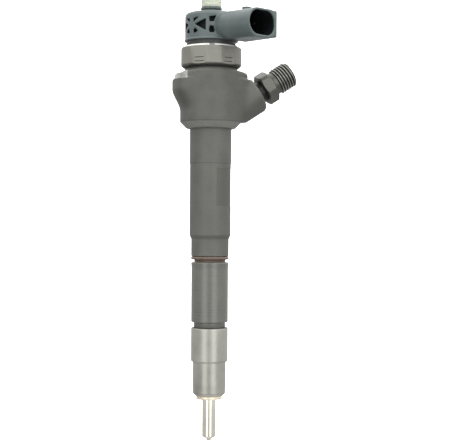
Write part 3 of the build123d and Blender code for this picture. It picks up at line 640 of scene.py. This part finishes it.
def head_distance(x, y, z):
    """Moulded head with its window pockets, socket, return nipple and passages."""
    r = np.hypot(x, y)
    wall = [
        (-5, 186.1), (14.0, 186.1), (14.0, 186.7), (HEAD_R, 187.3), (HEAD_R, 199.2), (13.1, 200.4),
        (11.9, 200.9), (-5, 200.9),
    ]
    body = polygon_distance(r, z, wall)
    turn = np.degrees(np.arctan2(y, x))
    for centre in (LATTICE_TURN, 2 * math.degrees(SOCKET_TURN) - LATTICE_TURN):
        away = (turn - centre + 180) % 360 - 180
        for corners in POCKETS:
            for mirror in (1, -1):
                outline = [(mirror * HEAD_R * math.radians(t), h) for t, h in corners]
                window = polygon_distance(HEAD_R * np.radians(away), z, outline) - 0.12
                body = minus(body, np.maximum(window, POCKET_FLOOR - r), 0.35)

    c, s = math.cos(SOCKET_TURN), math.sin(SOCKET_TURN)
    along, across = x * c + y * s, -x * s + y * c
    w = (along - SOCKET_START) / (SOCKET_END - SOCKET_START)
    ends = ((11.5, 9.7), (186.7, 184.9), (200.1, 199.7), (6.6, 6.9))
    far, low, high, r_near = [start + (end - start) * w for start, end in ends]
    near = -8.2 - 1.45 * smooth_step((along - 9) / 9)
    tube = socket_section(across, z, near, far, low, high, r_near, 4.0)
    tube = common(np.maximum(tube, SOCKET_START - along), along - SOCKET_END, 0.5)
    rib = box_distance((along, across, z), (14.0, 4.5, 185.8), (SOCKET_END, 11.25, 199.6), 0.9)
    tab = box_distance((along, across, z), (24.3, -2.0, 198.0), (27.6, 2.0, 201.4), 0.2)
    socket = union(union(tube, rib, 0.5), tab, 0.6)
    body = union(body, socket, 0.8)

    stub = [
        (-5, 200), (4.8, 200), (4.8, 202.6), (5.5, 202.9), (5.5, 203.8), (5.2, 204.2), (3.9, 204.2),
        (3.9, 209.2), (3.1, 209.2), (3.1, 210.6), (3.9, 210.6), (3.9, 213.4), (3.3, 214.0), (-5, 214.0),
    ]
    body = union(body, polygon_distance(r, z, stub), 0.3)

    room = socket_section(across, z, -8.75, 8.9, 186.3, 198.6, 6.2, 5.2)
    room = common(room, 18.0 - along, 0.4)
    key = box_distance((along, across, z), (17.0, -3.2, 185.7), (35.8, -0.8, 186.8), 0.2)
    body = minus(body, minus(room, key, 0.3), 0.45)
    body = np.maximum(body, -np.maximum(r - 12.45, z - 187.1))
    body = np.maximum(body, 1.6 - r)
    start, end, top = 5.05, 29.05, 193.45
    for middle in TERMINALS:
        left, right = middle - TERMINAL_SIZE / 2, middle + TERMINAL_SIZE / 2
        leg_low, leg_high = (start, left, 180), (start + TERMINAL_SIZE, right, top)
        leg = box_distance((along, across, z), leg_low, leg_high)
        blade = box_distance((along, across, z), (start, left, top - TERMINAL_SIZE), (end, right, top))
        body = np.maximum(body, -np.minimum(leg, blade))
    return body


def moulded_head():
    low, high = (-14.7, -37.3, 184.4), (29.0, 14.7, 214.6)
    head = field_object("moulded_head", head_distance, low, high, 0.33, crease=42)
    stand_in(head, "connector_head", "injector", "head_plastic")


CAP_RINGS, CAP_LOW, CAP_HIGH = 18, 204.7, 217.2


def ribbed_cap():
    """Transport cap of the return nipple: a thin cup with fine rings outside."""
    bore, groove, crest, mouth, top = 4.1, 5.18, 5.35, 204.25, 219.5
    side = [(bore, mouth, 0.1), (5.2, mouth, 0.15)]
    for i in range(CAP_RINGS):
        base = CAP_LOW + (CAP_HIGH - CAP_LOW) * i / CAP_RINGS
        side += [(groove, base), (groove, base + 0.2, 0.08)]
        side += [(crest, base + 0.36, 0.06), (crest, base + 0.52, 0.06)]
    side += [(groove, CAP_HIGH), (4.85, 218.9, 0.5), (4.0, top, 0.6), (0, top)]
    side += [(0, 218.0), (bore, 218.0, 0.4), (bore, mouth)]
    cap = lathe("ribbed_cap", side, turn=144)
    stand_in(cap, "return_cap", "cap", "cap_plastic")


def coil_spring(node, radius, wire, turns):
    """Helical spring with its ends ground flat."""
    heights = [v.co.z / MM for v in NODES[node].data.vertices]
    low, high = min(heights), max(heights)
    around, along = 12, turns * 28
    verts = []
    for i in range(along + 1):
        turn, middle = 2 * math.pi * turns * i / along, low + (high - low) * i / along
        for k in range(around):
            a = 2 * math.pi * k / around
            r, z = radius + wire * math.cos(a), middle + wire * math.sin(a)
            verts.append((r * math.cos(turn), r * math.sin(turn), min(max(z, low), high)))
    coil = add_object(node.replace("spring", "coil"), verts, tube_faces(along, around), crease=50)
    stand_in(coil, node, "injector", "spring_steel")
    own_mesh(coil)


def stand_in(piece, node, body, slot):
    """The piece replaces a CAD node, moves with its body and takes its slot's material."""
    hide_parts(node)
    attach(piece, body)
    piece.data.materials.clear()
    piece.data.materials.append(MATERIALS[slot])


# ---------------- materials


class Nodes:
    """Short names for the nodes of one tree."""

    def __init__(self, tree):
        self.tree = tree

    def node(self, kind, **settings):
        n = self.tree.nodes.new(kind)
        for key, value in settings.items():
            setattr(n, key, value)
        return n

    def link(self, a, b):
        self.tree.links.new(a, b)

    def span(self, value, low, high, to_low=0.0, to_high=1.0):
        n = self.node("ShaderNodeMapRange")
        for key, v in (("From Min", low), ("From Max", high), ("To Min", to_low), ("To Max", to_high)):
            n.inputs[key].default_value = v
        self.link(value, n.inputs["Value"])
        return n.outputs["Result"]


class Surface(Nodes):
    """A Principled material and short names for the nodes that feed it."""

    def __init__(self, name, colour, roughness, metallic=0.0):
        self.name = name
        self.mat = bpy.data.materials.new(name)
        self.mat.use_nodes = True
        super().__init__(self.mat.node_tree)
        self.tree.nodes.clear()
        out = self.node("ShaderNodeOutputMaterial")
        self.shader = self.node("ShaderNodeBsdfPrincipled")
        self.link(self.shader.outputs[0], out.inputs[0])
        self.shader.inputs["Metallic"].default_value = metallic
        self.shader.inputs["Roughness"].default_value = roughness
        self.where = self.node("ShaderNodeTexCoord").outputs["Object"]
        self.x, self.y, self.z = self.parts(self.where)
        self.colour = colour
        self.metallic = metallic
        self.base_roughness = roughness
        self.roughness = None
        self.height = None

    def parts(self, vector):
        """Coordinates in millimetres."""
        scaled = self.node("ShaderNodeVectorMath", operation="SCALE")
        scaled.inputs["Scale"].default_value = 1 / MM
        self.link(vector, scaled.inputs[0])
        split = self.node("ShaderNodeSeparateXYZ")
        self.link(scaled.outputs[0], split.inputs[0])
        return split.outputs

    def math(self, operation, a, b=0.5, clamp=False):
        n = self.node("ShaderNodeMath", operation=operation, use_clamp=clamp)
        for socket, v in zip(n.inputs, (a, b)):
            if isinstance(v, (int, float)):
                socket.default_value = v
            else:
                self.link(v, socket)
        return n.outputs[0]

    def hypot(self, a, b):
        return self.math("SQRT", self.math("ADD", self.math("POWER", a, 2), self.math("POWER", b, 2)))

    def radius(self):
        return self.hypot(self.x, self.y)

    def turned(self, a, b, angle):
        """Coordinates along and across a direction in the plane of a and b."""
        c, s = math.cos(angle), math.sin(angle)
        along = self.math("ADD", self.math("MULTIPLY", a, c), self.math("MULTIPLY", b, s))
        across = self.math("ADD", self.math("MULTIPLY", a, -s), self.math("MULTIPLY", b, c))
        return along, across

    def fading(self, value, low, high):
        """Mask that falls from 1 at low to 0 at high."""
        return self.span(value, low, high, 1.0, 0.0)

    def above(self, value, limit, soft=0.1):
        """Mask that is 1 over the limit, with a soft edge."""
        return self.span(value, limit - soft, limit + soft)

    def between(self, value, low, high, soft=0.1):
        """Mask that is 1 from low to high, with soft edges."""
        return self.both(self.above(value, low, soft), self.fading(value, high - soft, high + soft))

    def both(self, *masks):
        """Mask that is 1 where all the masks are."""
        whole = masks[0]
        for mask in masks[1:]:
            whole = self.math("MULTIPLY", whole, mask)
        return whole

    def stretched(self, scale, turn=(0, 0, 0)):
        """Object coordinates for a noise that is drawn out along an axis."""
        n = self.node("ShaderNodeMapping")
        n.inputs["Scale"].default_value = scale
        n.inputs["Rotation"].default_value = turn
        self.link(self.where, n.inputs["Vector"])
        return n.outputs[0]

    def noise(self, per_metre, detail=3.0, where=None):
        n = self.node("ShaderNodeTexNoise")
        n.inputs["Scale"].default_value = per_metre
        n.inputs["Detail"].default_value = detail
        n.inputs["Roughness"].default_value = 0.55
        self.link(where or self.where, n.inputs["Vector"])
        return n.outputs["Fac"]

    def patches(self, per_metre, low, high, detail=2.0):
        """Values that wander between low and high."""
        return self.span(self.noise(per_metre, detail), 0.3, 0.7, low, high)

    def mix(self, share, a, b, how="MIX"):
        n = self.node("ShaderNodeMix", data_type="RGBA", blend_type=how)
        for key, v in ((0, share), (6, a), (7, b)):
            if isinstance(v, (int, float)):
                n.inputs[key].default_value = v
            elif isinstance(v, tuple):
                n.inputs[key].default_value = (*v, 1)
            else:
                self.link(v, n.inputs[key])
        return n.outputs[2]

    def times(self, factor):
        return self.mix(1.0, self.colour, factor, "MULTIPLY")

    def clouded(self, share, dark, light):
        """Multiplies the colour by dark where share is 0 and by light where it is 1."""
        self.colour = self.mix(share, self.times(dark), self.times(light))

    def tint(self, share, colour):
        self.colour = self.mix(share, self.colour, colour)

    def patchy_tint(self, mask, colour, per_metre, low, high, detail=2.0):
        """Another colour inside a mask, patchy between two strengths; it paints real tones, and also painted
        shade and painted highlights.
        """
        self.tint(self.both(mask, self.patches(per_metre, low, high, detail)), colour)

    def shine(self, share, amount):
        """Adds to the roughness where share is 1."""
        start = self.base_roughness if self.roughness is None else self.roughness
        self.roughness = self.math("ADD", self.math("MULTIPLY", share, amount), start, clamp=True)

    def metal_where(self, share, metallic):
        """Another metallic value where share is 1."""
        self.link(self.span(share, 0, 1, self.metallic, metallic), self.shader.inputs["Metallic"])

    def rise(self, value, amount):
        """Adds value times amount, in millimetres, to the height that the bump shows."""
        step = self.math("MULTIPLY", value, amount)
        self.height = step if self.height is None else self.math("ADD", self.height, step)

    def edges(self, radius=0.0005):
        """Mask of the convex and concave edges, from a bevelled normal."""
        bevel = self.node("ShaderNodeBevel", samples=4)
        bevel.inputs["Radius"].default_value = radius
        flat = self.node("ShaderNodeNewGeometry").outputs["Normal"]
        dot = self.node("ShaderNodeVectorMath", operation="DOT_PRODUCT")
        self.link(bevel.outputs[0], dot.inputs[0])
        self.link(flat, dot.inputs[1])
        return self.fading(dot.outputs["Value"], 0.55, 0.97)

    def done(self):
        self.link(self.colour, self.shader.inputs["Base Color"])
        if self.roughness is not None:
            self.link(self.roughness, self.shader.inputs["Roughness"])
        if self.height is not None:
            bump = self.node("ShaderNodeBump")
            bump.inputs["Strength"].default_value = 1.0
            bump.inputs["Distance"].default_value = MM
            self.link(self.height, bump.inputs["Height"])
            self.link(bump.outputs[0], self.shader.inputs["Normal"])
        return self.mat


def brighter(colour, gain, lift):
    return tuple(min(1.0, c * gain + lift) for c in colour)


def metal(name, colour, roughness, metallic, wear, lines=0.0, grain=0.0, axis=(0, 0, 0)):
    """Steel or another metal: cloudy colour, turning lines about its axis, blasted grain and bright edges."""
    s = Surface(name, colour, roughness, metallic)
    cloud = s.noise(90, 4)
    speck = s.noise(1400, 2)
    s.clouded(s.span(cloud, 0.3, 0.7), (0.86, 0.86, 0.87), (1.12, 1.12, 1.10))
    s.tint(s.span(speck, 0.35, 0.75, 0.0, 0.25), s.times((0.7, 0.7, 0.7)))
    s.shine(s.span(cloud, 0.3, 0.7, -1, 1), 0.06)
    if lines:
        turned = s.noise(1, 2, where=s.stretched((12, 12, 5200), axis))
        s.rise(turned, lines)
        s.shine(s.span(turned, 0.3, 0.7, -1, 1), 0.05)
    if grain:
        s.rise(s.noise(2600, 2), grain)
        s.rise(s.noise(500, 3), grain * 1.6)
    worn = s.math("MULTIPLY", s.edges(), s.span(s.noise(400, 3), 0.35, 0.6), clamp=True)
    s.tint(s.math("MULTIPLY", worn, wear), brighter(colour, 1.5, 0.05))
    s.shine(worn, -0.10)
    return s


def plastic(name, colour, roughness, grain=0.01):
    """Glass-filled moulding: fine mottling, faint flow streaks, a grained skin and rubbed edges."""
    s = Surface(name, colour, roughness)
    s.clouded(s.patches(120, 0.0, 1.0, detail=4), (0.90, 0.91, 0.92), (1.10, 1.09, 1.08))
    flow = s.noise(220, 5, where=s.stretched((1, 1, 3.5)))
    s.tint(s.span(flow, 0.58, 0.8, 0.0, 0.18), brighter(colour, 1.7, 0.03))
    s.shine(s.patches(700, -1, 1), 0.07)
    s.rise(s.noise(3000, 2), grain)
    s.rise(s.noise(350, 2), grain * 1.5)
    worn = s.math("MULTIPLY", s.edges(0.0004), s.span(s.noise(500, 3), 0.4, 0.62), clamp=True)
    s.tint(s.math("MULTIPLY", worn, 0.2), brighter(colour, 1.8, 0.06))
    return s


def rubber(name, colour, roughness):
    """Moulded rubber: mottled, finely grained and a little lighter along its edges."""
    s = Surface(name, colour, roughness)
    s.clouded(s.patches(300, 0.0, 1.0, detail=4), (0.8, 0.8, 0.8), (1.2, 1.18, 1.15))
    s.shine(s.patches(900, -1, 1), 0.08)
    s.rise(s.noise(1800, 3), 0.02)
    s.tint(s.math("MULTIPLY", s.edges(0.0003), 0.15), brighter(colour, 1.8, 0.05))
    return s


def body_steel():
    """Phosphated forging with a zone for each finish, and painted sheen, light and shade in some of its
    zones.
    """
    s = metal("phosphated_steel", (0.116, 0.116, 0.106), 0.55, 0.55, lines=0.004, grain=0.014, wear=0.5)
    radius = s.radius()

    # smoother lower barrel lightened as a painted sheen, painted shade tinged with the seal's brown in its
    # groove, and a lighter cone for its turned finish and painted light from below
    barrel = s.between(s.z, 39.0, 71.5, 0.4)
    s.shine(barrel, -0.24)
    # the barrel's lighter colour is a painted sheen
    s.tint(s.math("MULTIPLY", barrel, 0.25), (0.24, 0.24, 0.215))
    # painted shade in the seal's groove, tinged brown as a painted reflection of the seal
    groove = s.both(s.between(s.z, 70.9, 72.6, 0.15), s.fading(radius, 8.9, 9.05))
    s.patchy_tint(groove, (0.12, 0.080, 0.058), 500, 0.6, 0.8)
    # lighter cone: its turned finish, and painted light from below
    cone = s.both(s.between(s.z, 140.6, 144.0, 0.2), s.above(radius, 11.1))
    s.patchy_tint(cone, (0.235, 0.235, 0.215), 700, 0.5, 0.8)

    # bare milled clamp seats
    margin = 0.15
    beside = s.above(s.math("ABSOLUTE", s.x), SEAT_X - margin)
    over = s.above(s.z, SEAT_Z - margin)
    facing = s.above(s.math("MULTIPLY", s.y, s.math("SIGN", s.x)), -SEAT_Y - margin)
    seat = s.both(beside, over, facing, s.between(s.z, 160, 170.4, 0.2))
    s.patchy_tint(seat, (0.50, 0.50, 0.47), 900, 0.75, 1.0, detail=3)
    s.shine(seat, -0.12)
    s.metal_where(seat, 0.9)

    # brushed panel
    along, across = s.turned(s.x, s.y, PANEL_TURN)
    panel = s.both(s.between(s.z, *PANEL_Z), s.between(across, *PANEL_ACROSS), s.above(along, 4))
    brushed = s.noise(1, 3, where=s.stretched((2600, 2600, 40)))
    s.tint(s.math("MULTIPLY", panel, s.span(brushed, 0.35, 0.65, 0.55, 1.0)), (0.088, 0.091, 0.078))
    s.rise(s.math("MULTIPLY", panel, brushed), 0.012)

    # darker head beside the seats, and deep shade in the gap under the magnet nut
    head = s.both(s.above(s.z, 144.3, 0.3), s.fading(seat, 0, 1))
    s.patchy_tint(head, (0.06, 0.06, 0.054), 150, 0.15, 0.38, detail=3)
    gap = s.both(s.between(s.z, 171.4, 174.0), s.fading(radius, 13.9, 14.1))
    s.patchy_tint(gap, (0.012, 0.012, 0.011), 400, 0.85, 0.95)
    return s


def nozzle_nut_steel():
    """Nozzle nut: plain turned steel with painted shadow round its top."""
    s = metal("nozzle_nut_steel", (0.40, 0.395, 0.357), 0.36, 0.95, lines=0.012, wear=0.3)
    # painted shadow over the top edge, where the body's neck meets the nut
    s.patchy_tint(s.above(s.z, 36.8, 0.1), (0.03, 0.03, 0.028), 500, 0.75, 0.9)
    return s


def nut_steel():
    """Magnet nut: phosphated, with a painted highlight on its top chamfer under a rim in painted shade, and
    painted shade in its tool marks and on its underside.
    """
    s = metal("nut_steel", (0.222, 0.221, 0.196), 0.50, 0.75, lines=0.01, grain=0.006, wear=0.4)
    radius = s.radius()
    chamfer_z, rim_z = 182.6, 183.5
    along, across = s.turned(s.x, s.y, math.radians(-101))
    punch = s.both(s.between(across, -1.4, 1.4, 0.2), s.above(along, 5))
    chamfer = s.both(s.between(s.z, chamfer_z, rim_z, 0.1), s.span(punch, 0, 1, 1.0, 0.25))
    rim = s.above(s.z, rim_z, 0.1)
    # painted shade on the top rim, under the moulded head
    s.patchy_tint(rim, (0.07, 0.075, 0.072), 700, 0.8, 0.95)
    # painted highlight on the top chamfer, where the top light falls, weaker over the punch mark
    s.patchy_tint(chamfer, (0.93, 0.93, 0.90), 900, 0.85, 1.0)
    # painted shade on the underside, over the gap to the body
    under = s.both(s.above(s.z, 172.3), s.fading(s.z, 172.9, 173.5))
    s.patchy_tint(under, (0.05, 0.05, 0.045), 500, 0.6, 0.9, detail=3)
    lower, upper = [s.between(s.z, z, z + MARK_HEIGHT, 0.03) for z in MARK_FLOORS]
    marks = s.math("ADD", lower, upper, clamp=True)
    marks = s.both(marks, s.fading(radius, 15.38, 15.44), s.above(radius, 15.0))
    # painted shade in the tool marks
    s.patchy_tint(marks, (0.03, 0.03, 0.028), 500, 0.7, 0.95, detail=3)
    # the painted highlight and painted shade are made nearly non-metallic
    s.metal_where(s.math("MAXIMUM", chamfer, rim), 0.05)
    return s


def inlet_steel():
    """Inlet fitting: painted shade on the shank in the gap and in the thread roots, and painted highlights on
    the thread crests.
    """
    turn = (0, -(math.pi / 2 - INLET_RISE), 0)
    s = metal("inlet_steel", (0.105, 0.105, 0.094), 0.38, 0.8, lines=0.008, wear=0.7, axis=turn)
    along, aside = s.turned(s.x, s.math("SUBTRACT", s.z, INLET_Z), INLET_RISE)
    off = s.hypot(aside, s.y)
    thread = s.above(along, 41.2, 0.2)
    crest = s.both(thread, s.above(off, 6.82, 0.08))
    root = s.both(thread, s.fading(off, 6.2, 6.7))
    # painted highlight on the thread crests
    s.patchy_tint(crest, (0.40, 0.40, 0.36), 800, 0.5, 0.9)
    # painted shade in the thread roots
    s.patchy_tint(root, (0.03, 0.03, 0.027), 500, 0.7, 0.9)
    gap = s.both(s.fading(along, 33.0, 33.3), s.fading(off, 6.6, 7.2))
    # painted shadow on the shank in the gap under the hexagon
    s.patchy_tint(gap, (0.015, 0.015, 0.014), 500, 0.8, 0.95)
    return s


def head_moulding():
    """Moulded head: its window pockets and the inside of the socket are in deep shade."""
    s = plastic("head_plastic", (0.074, 0.096, 0.094), 0.40)
    windows = s.both(s.between(s.z, 188.4, 198.6, 0.2), s.fading(s.radius(), 13.2, 13.5))
    along, across = s.turned(s.x, s.y, SOCKET_TURN)
    squarer = s.both(s.between(across, 0, 9.0), s.between(s.z, 185.95, 199.2))
    out = s.math("MAXIMUM", s.math("SUBTRACT", s.math("ABSOLUTE", across), 2.55), 0)
    up = s.math("MAXIMUM", s.math("SUBTRACT", s.math("ABSOLUTE", s.math("SUBTRACT", s.z, 192.6)), 0.2), 0)
    rounder = s.fading(s.hypot(out, up), 6.3, 6.5)
    room = s.both(s.between(along, 17.4, 36.2, 0.3), s.math("MAXIMUM", squarer, rounder))
    inside = s.math("MAXIMUM", windows, room)
    s.patchy_tint(inside, (0.004, 0.005, 0.005), 300, 0.88, 0.97)
    s.link(s.span(inside, 0, 1, 0.5, 0.08), s.shader.inputs["Specular IOR Level"])
    return s


def cap_moulding():
    """Translucent cap, yellower between its rings and along its parting line."""
    s = plastic("cap_plastic", (0.56, 0.59, 0.485), 0.38, grain=0.006)
    ring_count = s.math("MULTIPLY", s.z, CAP_RINGS / (CAP_HIGH - CAP_LOW))
    s.tint(s.span(s.math("FRACT", ring_count), 0.25, 0.0, 0.0, 0.35), (0.42, 0.43, 0.33))
    along, across = s.turned(s.x, s.y, math.radians(-95))
    parting = s.both(s.between(across, -0.1, 0.1, 0.15), s.above(along, 2))
    s.tint(s.math("MULTIPLY", parting, 0.55), (0.45, 0.46, 0.34))
    s.shader.inputs["Subsurface Weight"].default_value = 0.35
    s.shader.inputs["Subsurface Radius"].default_value = (0.003, 0.003, 0.0022)
    return s


def make_materials():
    """Every slot's material by name."""
    surfaces = [
        body_steel(),
        nozzle_nut_steel(),
        metal("nozzle_steel", (0.75, 0.735, 0.63), 0.085, 1.0, lines=0.002, wear=0.2),
        nut_steel(),
        inlet_steel(),
        metal("bright_steel", (0.82, 0.82, 0.79), 0.1, 1.0, lines=0.001, wear=0.2),
        metal("ground_steel", (0.55, 0.55, 0.54), 0.18, 1.0, lines=0.003, wear=0.2),
        metal("core_steel", (0.30, 0.30, 0.31), 0.5, 0.7, grain=0.02, wear=0.3),
        metal("spring_steel", (0.28, 0.27, 0.26), 0.3, 0.9, grain=0.004, wear=0.3),
        metal("copper_washer", (0.88, 0.77, 0.62), 0.34, 0.95, lines=0.006, wear=0.3),
        metal("copper", (0.75, 0.33, 0.16), 0.25, 1.0, lines=0.002, wear=0.3),
        # tinned_contact: the contacts deep in the socket are painted near black as painted shade
        metal("tinned_contact", (0.022, 0.022, 0.021), 0.6, 0.8, grain=0.004, wear=0.2),
        head_moulding(),
        plastic("bobbin_plastic", (0.30, 0.22, 0.12), 0.5),
        plastic("seal_plastic", (0.72, 0.70, 0.62), 0.4),
        cap_moulding(),
        rubber("brown_rubber", (0.112, 0.076, 0.056), 0.32),
        rubber("black_rubber", (0.03, 0.03, 0.03), 0.5),
    ]
    return {surface.name: surface.done() for surface in surfaces}


# ---------------- camera, light and stage


# the photograph's camera: its turn and roll, its place in metres, and its lens in millimetres
CAMERA_TURN, CAMERA_ROLL = math.radians(14.0), math.radians(0.366)
CAMERA_ASIDE, CAMERA_BACK, CAMERA_HEIGHT = 0.0130, 0.633, 0.0933
SENSOR_WIDTH, LENS = 36.0, 92.834

# soft boxes on both sides of the camera, in degrees, metres and watts
BOX_AZIMUTH, BOX_DISTANCE, BOX_HEIGHT = 30, 1.15, 0.40
BOX_SIZE, BOX_POWER = (0.62, 1.5), 3.7

# brightness of the surroundings from straight down to straight up, and its strength at the left and right
SKY = [(0.0, 0.95), (0.12, 0.62), (0.325, 0.30), (0.40, 0.50), (0.46, 0.66), (0.525, 0.70)]
SKY += [(0.75, 1.30), (1.0, 2.3)]
SKY_LEFT, SKY_RIGHT = 1.12, 1.42

FLOOR_Z = -23  # millimetres


def photo_axes():
    """Right and forward directions of the camera, in the row frame."""
    forward = Vector((math.sin(CAMERA_TURN), math.cos(CAMERA_TURN), 0))
    right = Vector((math.cos(CAMERA_TURN), -math.sin(CAMERA_TURN), 0))
    return right, forward


def make_camera():
    right, forward = photo_axes()
    across = right * math.cos(CAMERA_ROLL) + UP * math.sin(CAMERA_ROLL)
    upright = UP * math.cos(CAMERA_ROLL) - right * math.sin(CAMERA_ROLL)
    data = bpy.data.cameras.new("camera")
    data.sensor_width = SENSOR_WIDTH
    data.lens = LENS
    data.clip_start = 0.01
    data.clip_end = 20
    cam = bpy.data.objects.new("camera", data)
    spot = right * CAMERA_ASIDE - forward * CAMERA_BACK + UP * CAMERA_HEIGHT
    cam.matrix_world = place_matrix(across, upright, -forward, spot)
    bpy.context.scene.collection.objects.link(cam)
    bpy.context.scene.camera = cam


def soft_box(name, azimuth):
    """Upright area light, turned towards the injector; the azimuth is from the camera, seen from above."""
    right, forward = photo_axes()
    a = math.radians(azimuth)
    out = (-forward * math.cos(a) + right * math.sin(a)).normalized()
    data = bpy.data.lights.new(name, "AREA")
    data.shape = "RECTANGLE"
    data.size, data.size_y = BOX_SIZE
    data.energy = BOX_POWER
    light = bpy.data.objects.new(name, data)
    light.matrix_world = place_matrix(UP.cross(out), UP, out, out * BOX_DISTANCE + UP * BOX_HEIGHT)
    bpy.context.scene.collection.objects.link(light)


def make_surroundings():
    """World whose brightness changes with height and from the camera's left to its right."""
    world = bpy.data.worlds.new("studio")
    world.use_nodes = True
    s = Nodes(world.node_tree)
    background = s.tree.nodes["Background"]
    direction = s.node("ShaderNodeTexCoord").outputs["Generated"]
    split = s.node("ShaderNodeSeparateXYZ")
    s.link(direction, split.inputs[0])
    ramp = s.node("ShaderNodeValToRGB")
    while len(ramp.color_ramp.elements) < len(SKY):
        ramp.color_ramp.elements.new(0.5)
    for element, (spot, level) in zip(ramp.color_ramp.elements, SKY):
        element.position = spot
        element.color = (level, level, level, 1)
    s.link(s.span(split.outputs["Z"], -1, 1), ramp.inputs[0])
    s.link(ramp.outputs[0], background.inputs["Color"])
    lean = s.node("ShaderNodeVectorMath", operation="DOT_PRODUCT")
    lean.inputs[1].default_value = photo_axes()[0]
    s.link(direction, lean.inputs[0])
    s.link(s.span(lean.outputs["Value"], -1, 1, SKY_LEFT, SKY_RIGHT), background.inputs["Strength"])
    bpy.context.scene.world = world


def make_studio():
    """White surroundings, two upright soft boxes beside the camera and a pale floor."""
    bpy.context.scene.view_settings.view_transform = "Standard"
    make_surroundings()
    soft_box("box_left", -BOX_AZIMUTH)
    soft_box("box_right", BOX_AZIMUTH)
    white_surround()
    pale_floor()


def backdrop(obj, surface, glow):
    """Glowing paper that shows to the camera but doesn't light the injector or reflect in it."""
    surface.shader.inputs["Emission Color"].default_value = (1, 1, 1, 1)
    surface.shader.inputs["Emission Strength"].default_value = glow
    obj.data.materials.append(surface.done())
    obj.visible_diffuse = False
    obj.visible_glossy = False
    obj.visible_transmission = False
    obj.visible_shadow = False


def white_surround():
    """White paper all round."""
    verts, faces = ring_mesh([(8000, -2000), (8000, 6000), (6000, 8000), (0, 9000)], COARSE_TURN)
    s = Surface("surround_paper", (1, 1, 1), 0.9)
    s.tint(s.patches(0.5, 0, 0.5), (0.97, 0.97, 0.97))
    backdrop(add_object("surround", verts, faces), s, 1.0)


def pale_floor():
    """Paper floor just under the nozzle's tip."""
    verts, faces = ring_mesh([(r, FLOOR_Z) for r in (0, 300, 1500, 6000)], COARSE_TURN)
    s = Surface("floor_paper", (0.86, 0.86, 0.85), 0.8)
    s.tint(s.patches(3, 0, 0.5, detail=3), (0.9, 0.9, 0.89))
    s.rise(s.noise(900, 2), 0.01)
    backdrop(add_object("floor", verts, faces), s, 0.5)


# ---------------- build


def dress():
    """Each CAD node takes the procedural material of its own slot."""
    for obj in NODES.values():
        for i, old in enumerate(obj.data.materials):
            obj.data.materials[i] = MATERIALS[old.name.split(".")[0]]


def make_pieces():
    """The pieces that replace CAD nodes."""
    forged_body()
    nozzle_nut()
    nozzle_body()
    sealing_washer()
    groove_seal()
    inlet_stub()
    magnet_nut()
    moulded_head()
    ribbed_cap()
    coil_spring("nozzle_spring", 2.75, 0.55, turns=9)
    coil_spring("valve_spring", 2.4, 0.4, turns=7)
    coil_spring("overtravel_spring", 2.65, 0.3, turns=4)


make_camera()
make_studio()
MATERIALS = make_materials()
dress()
make_pieces()
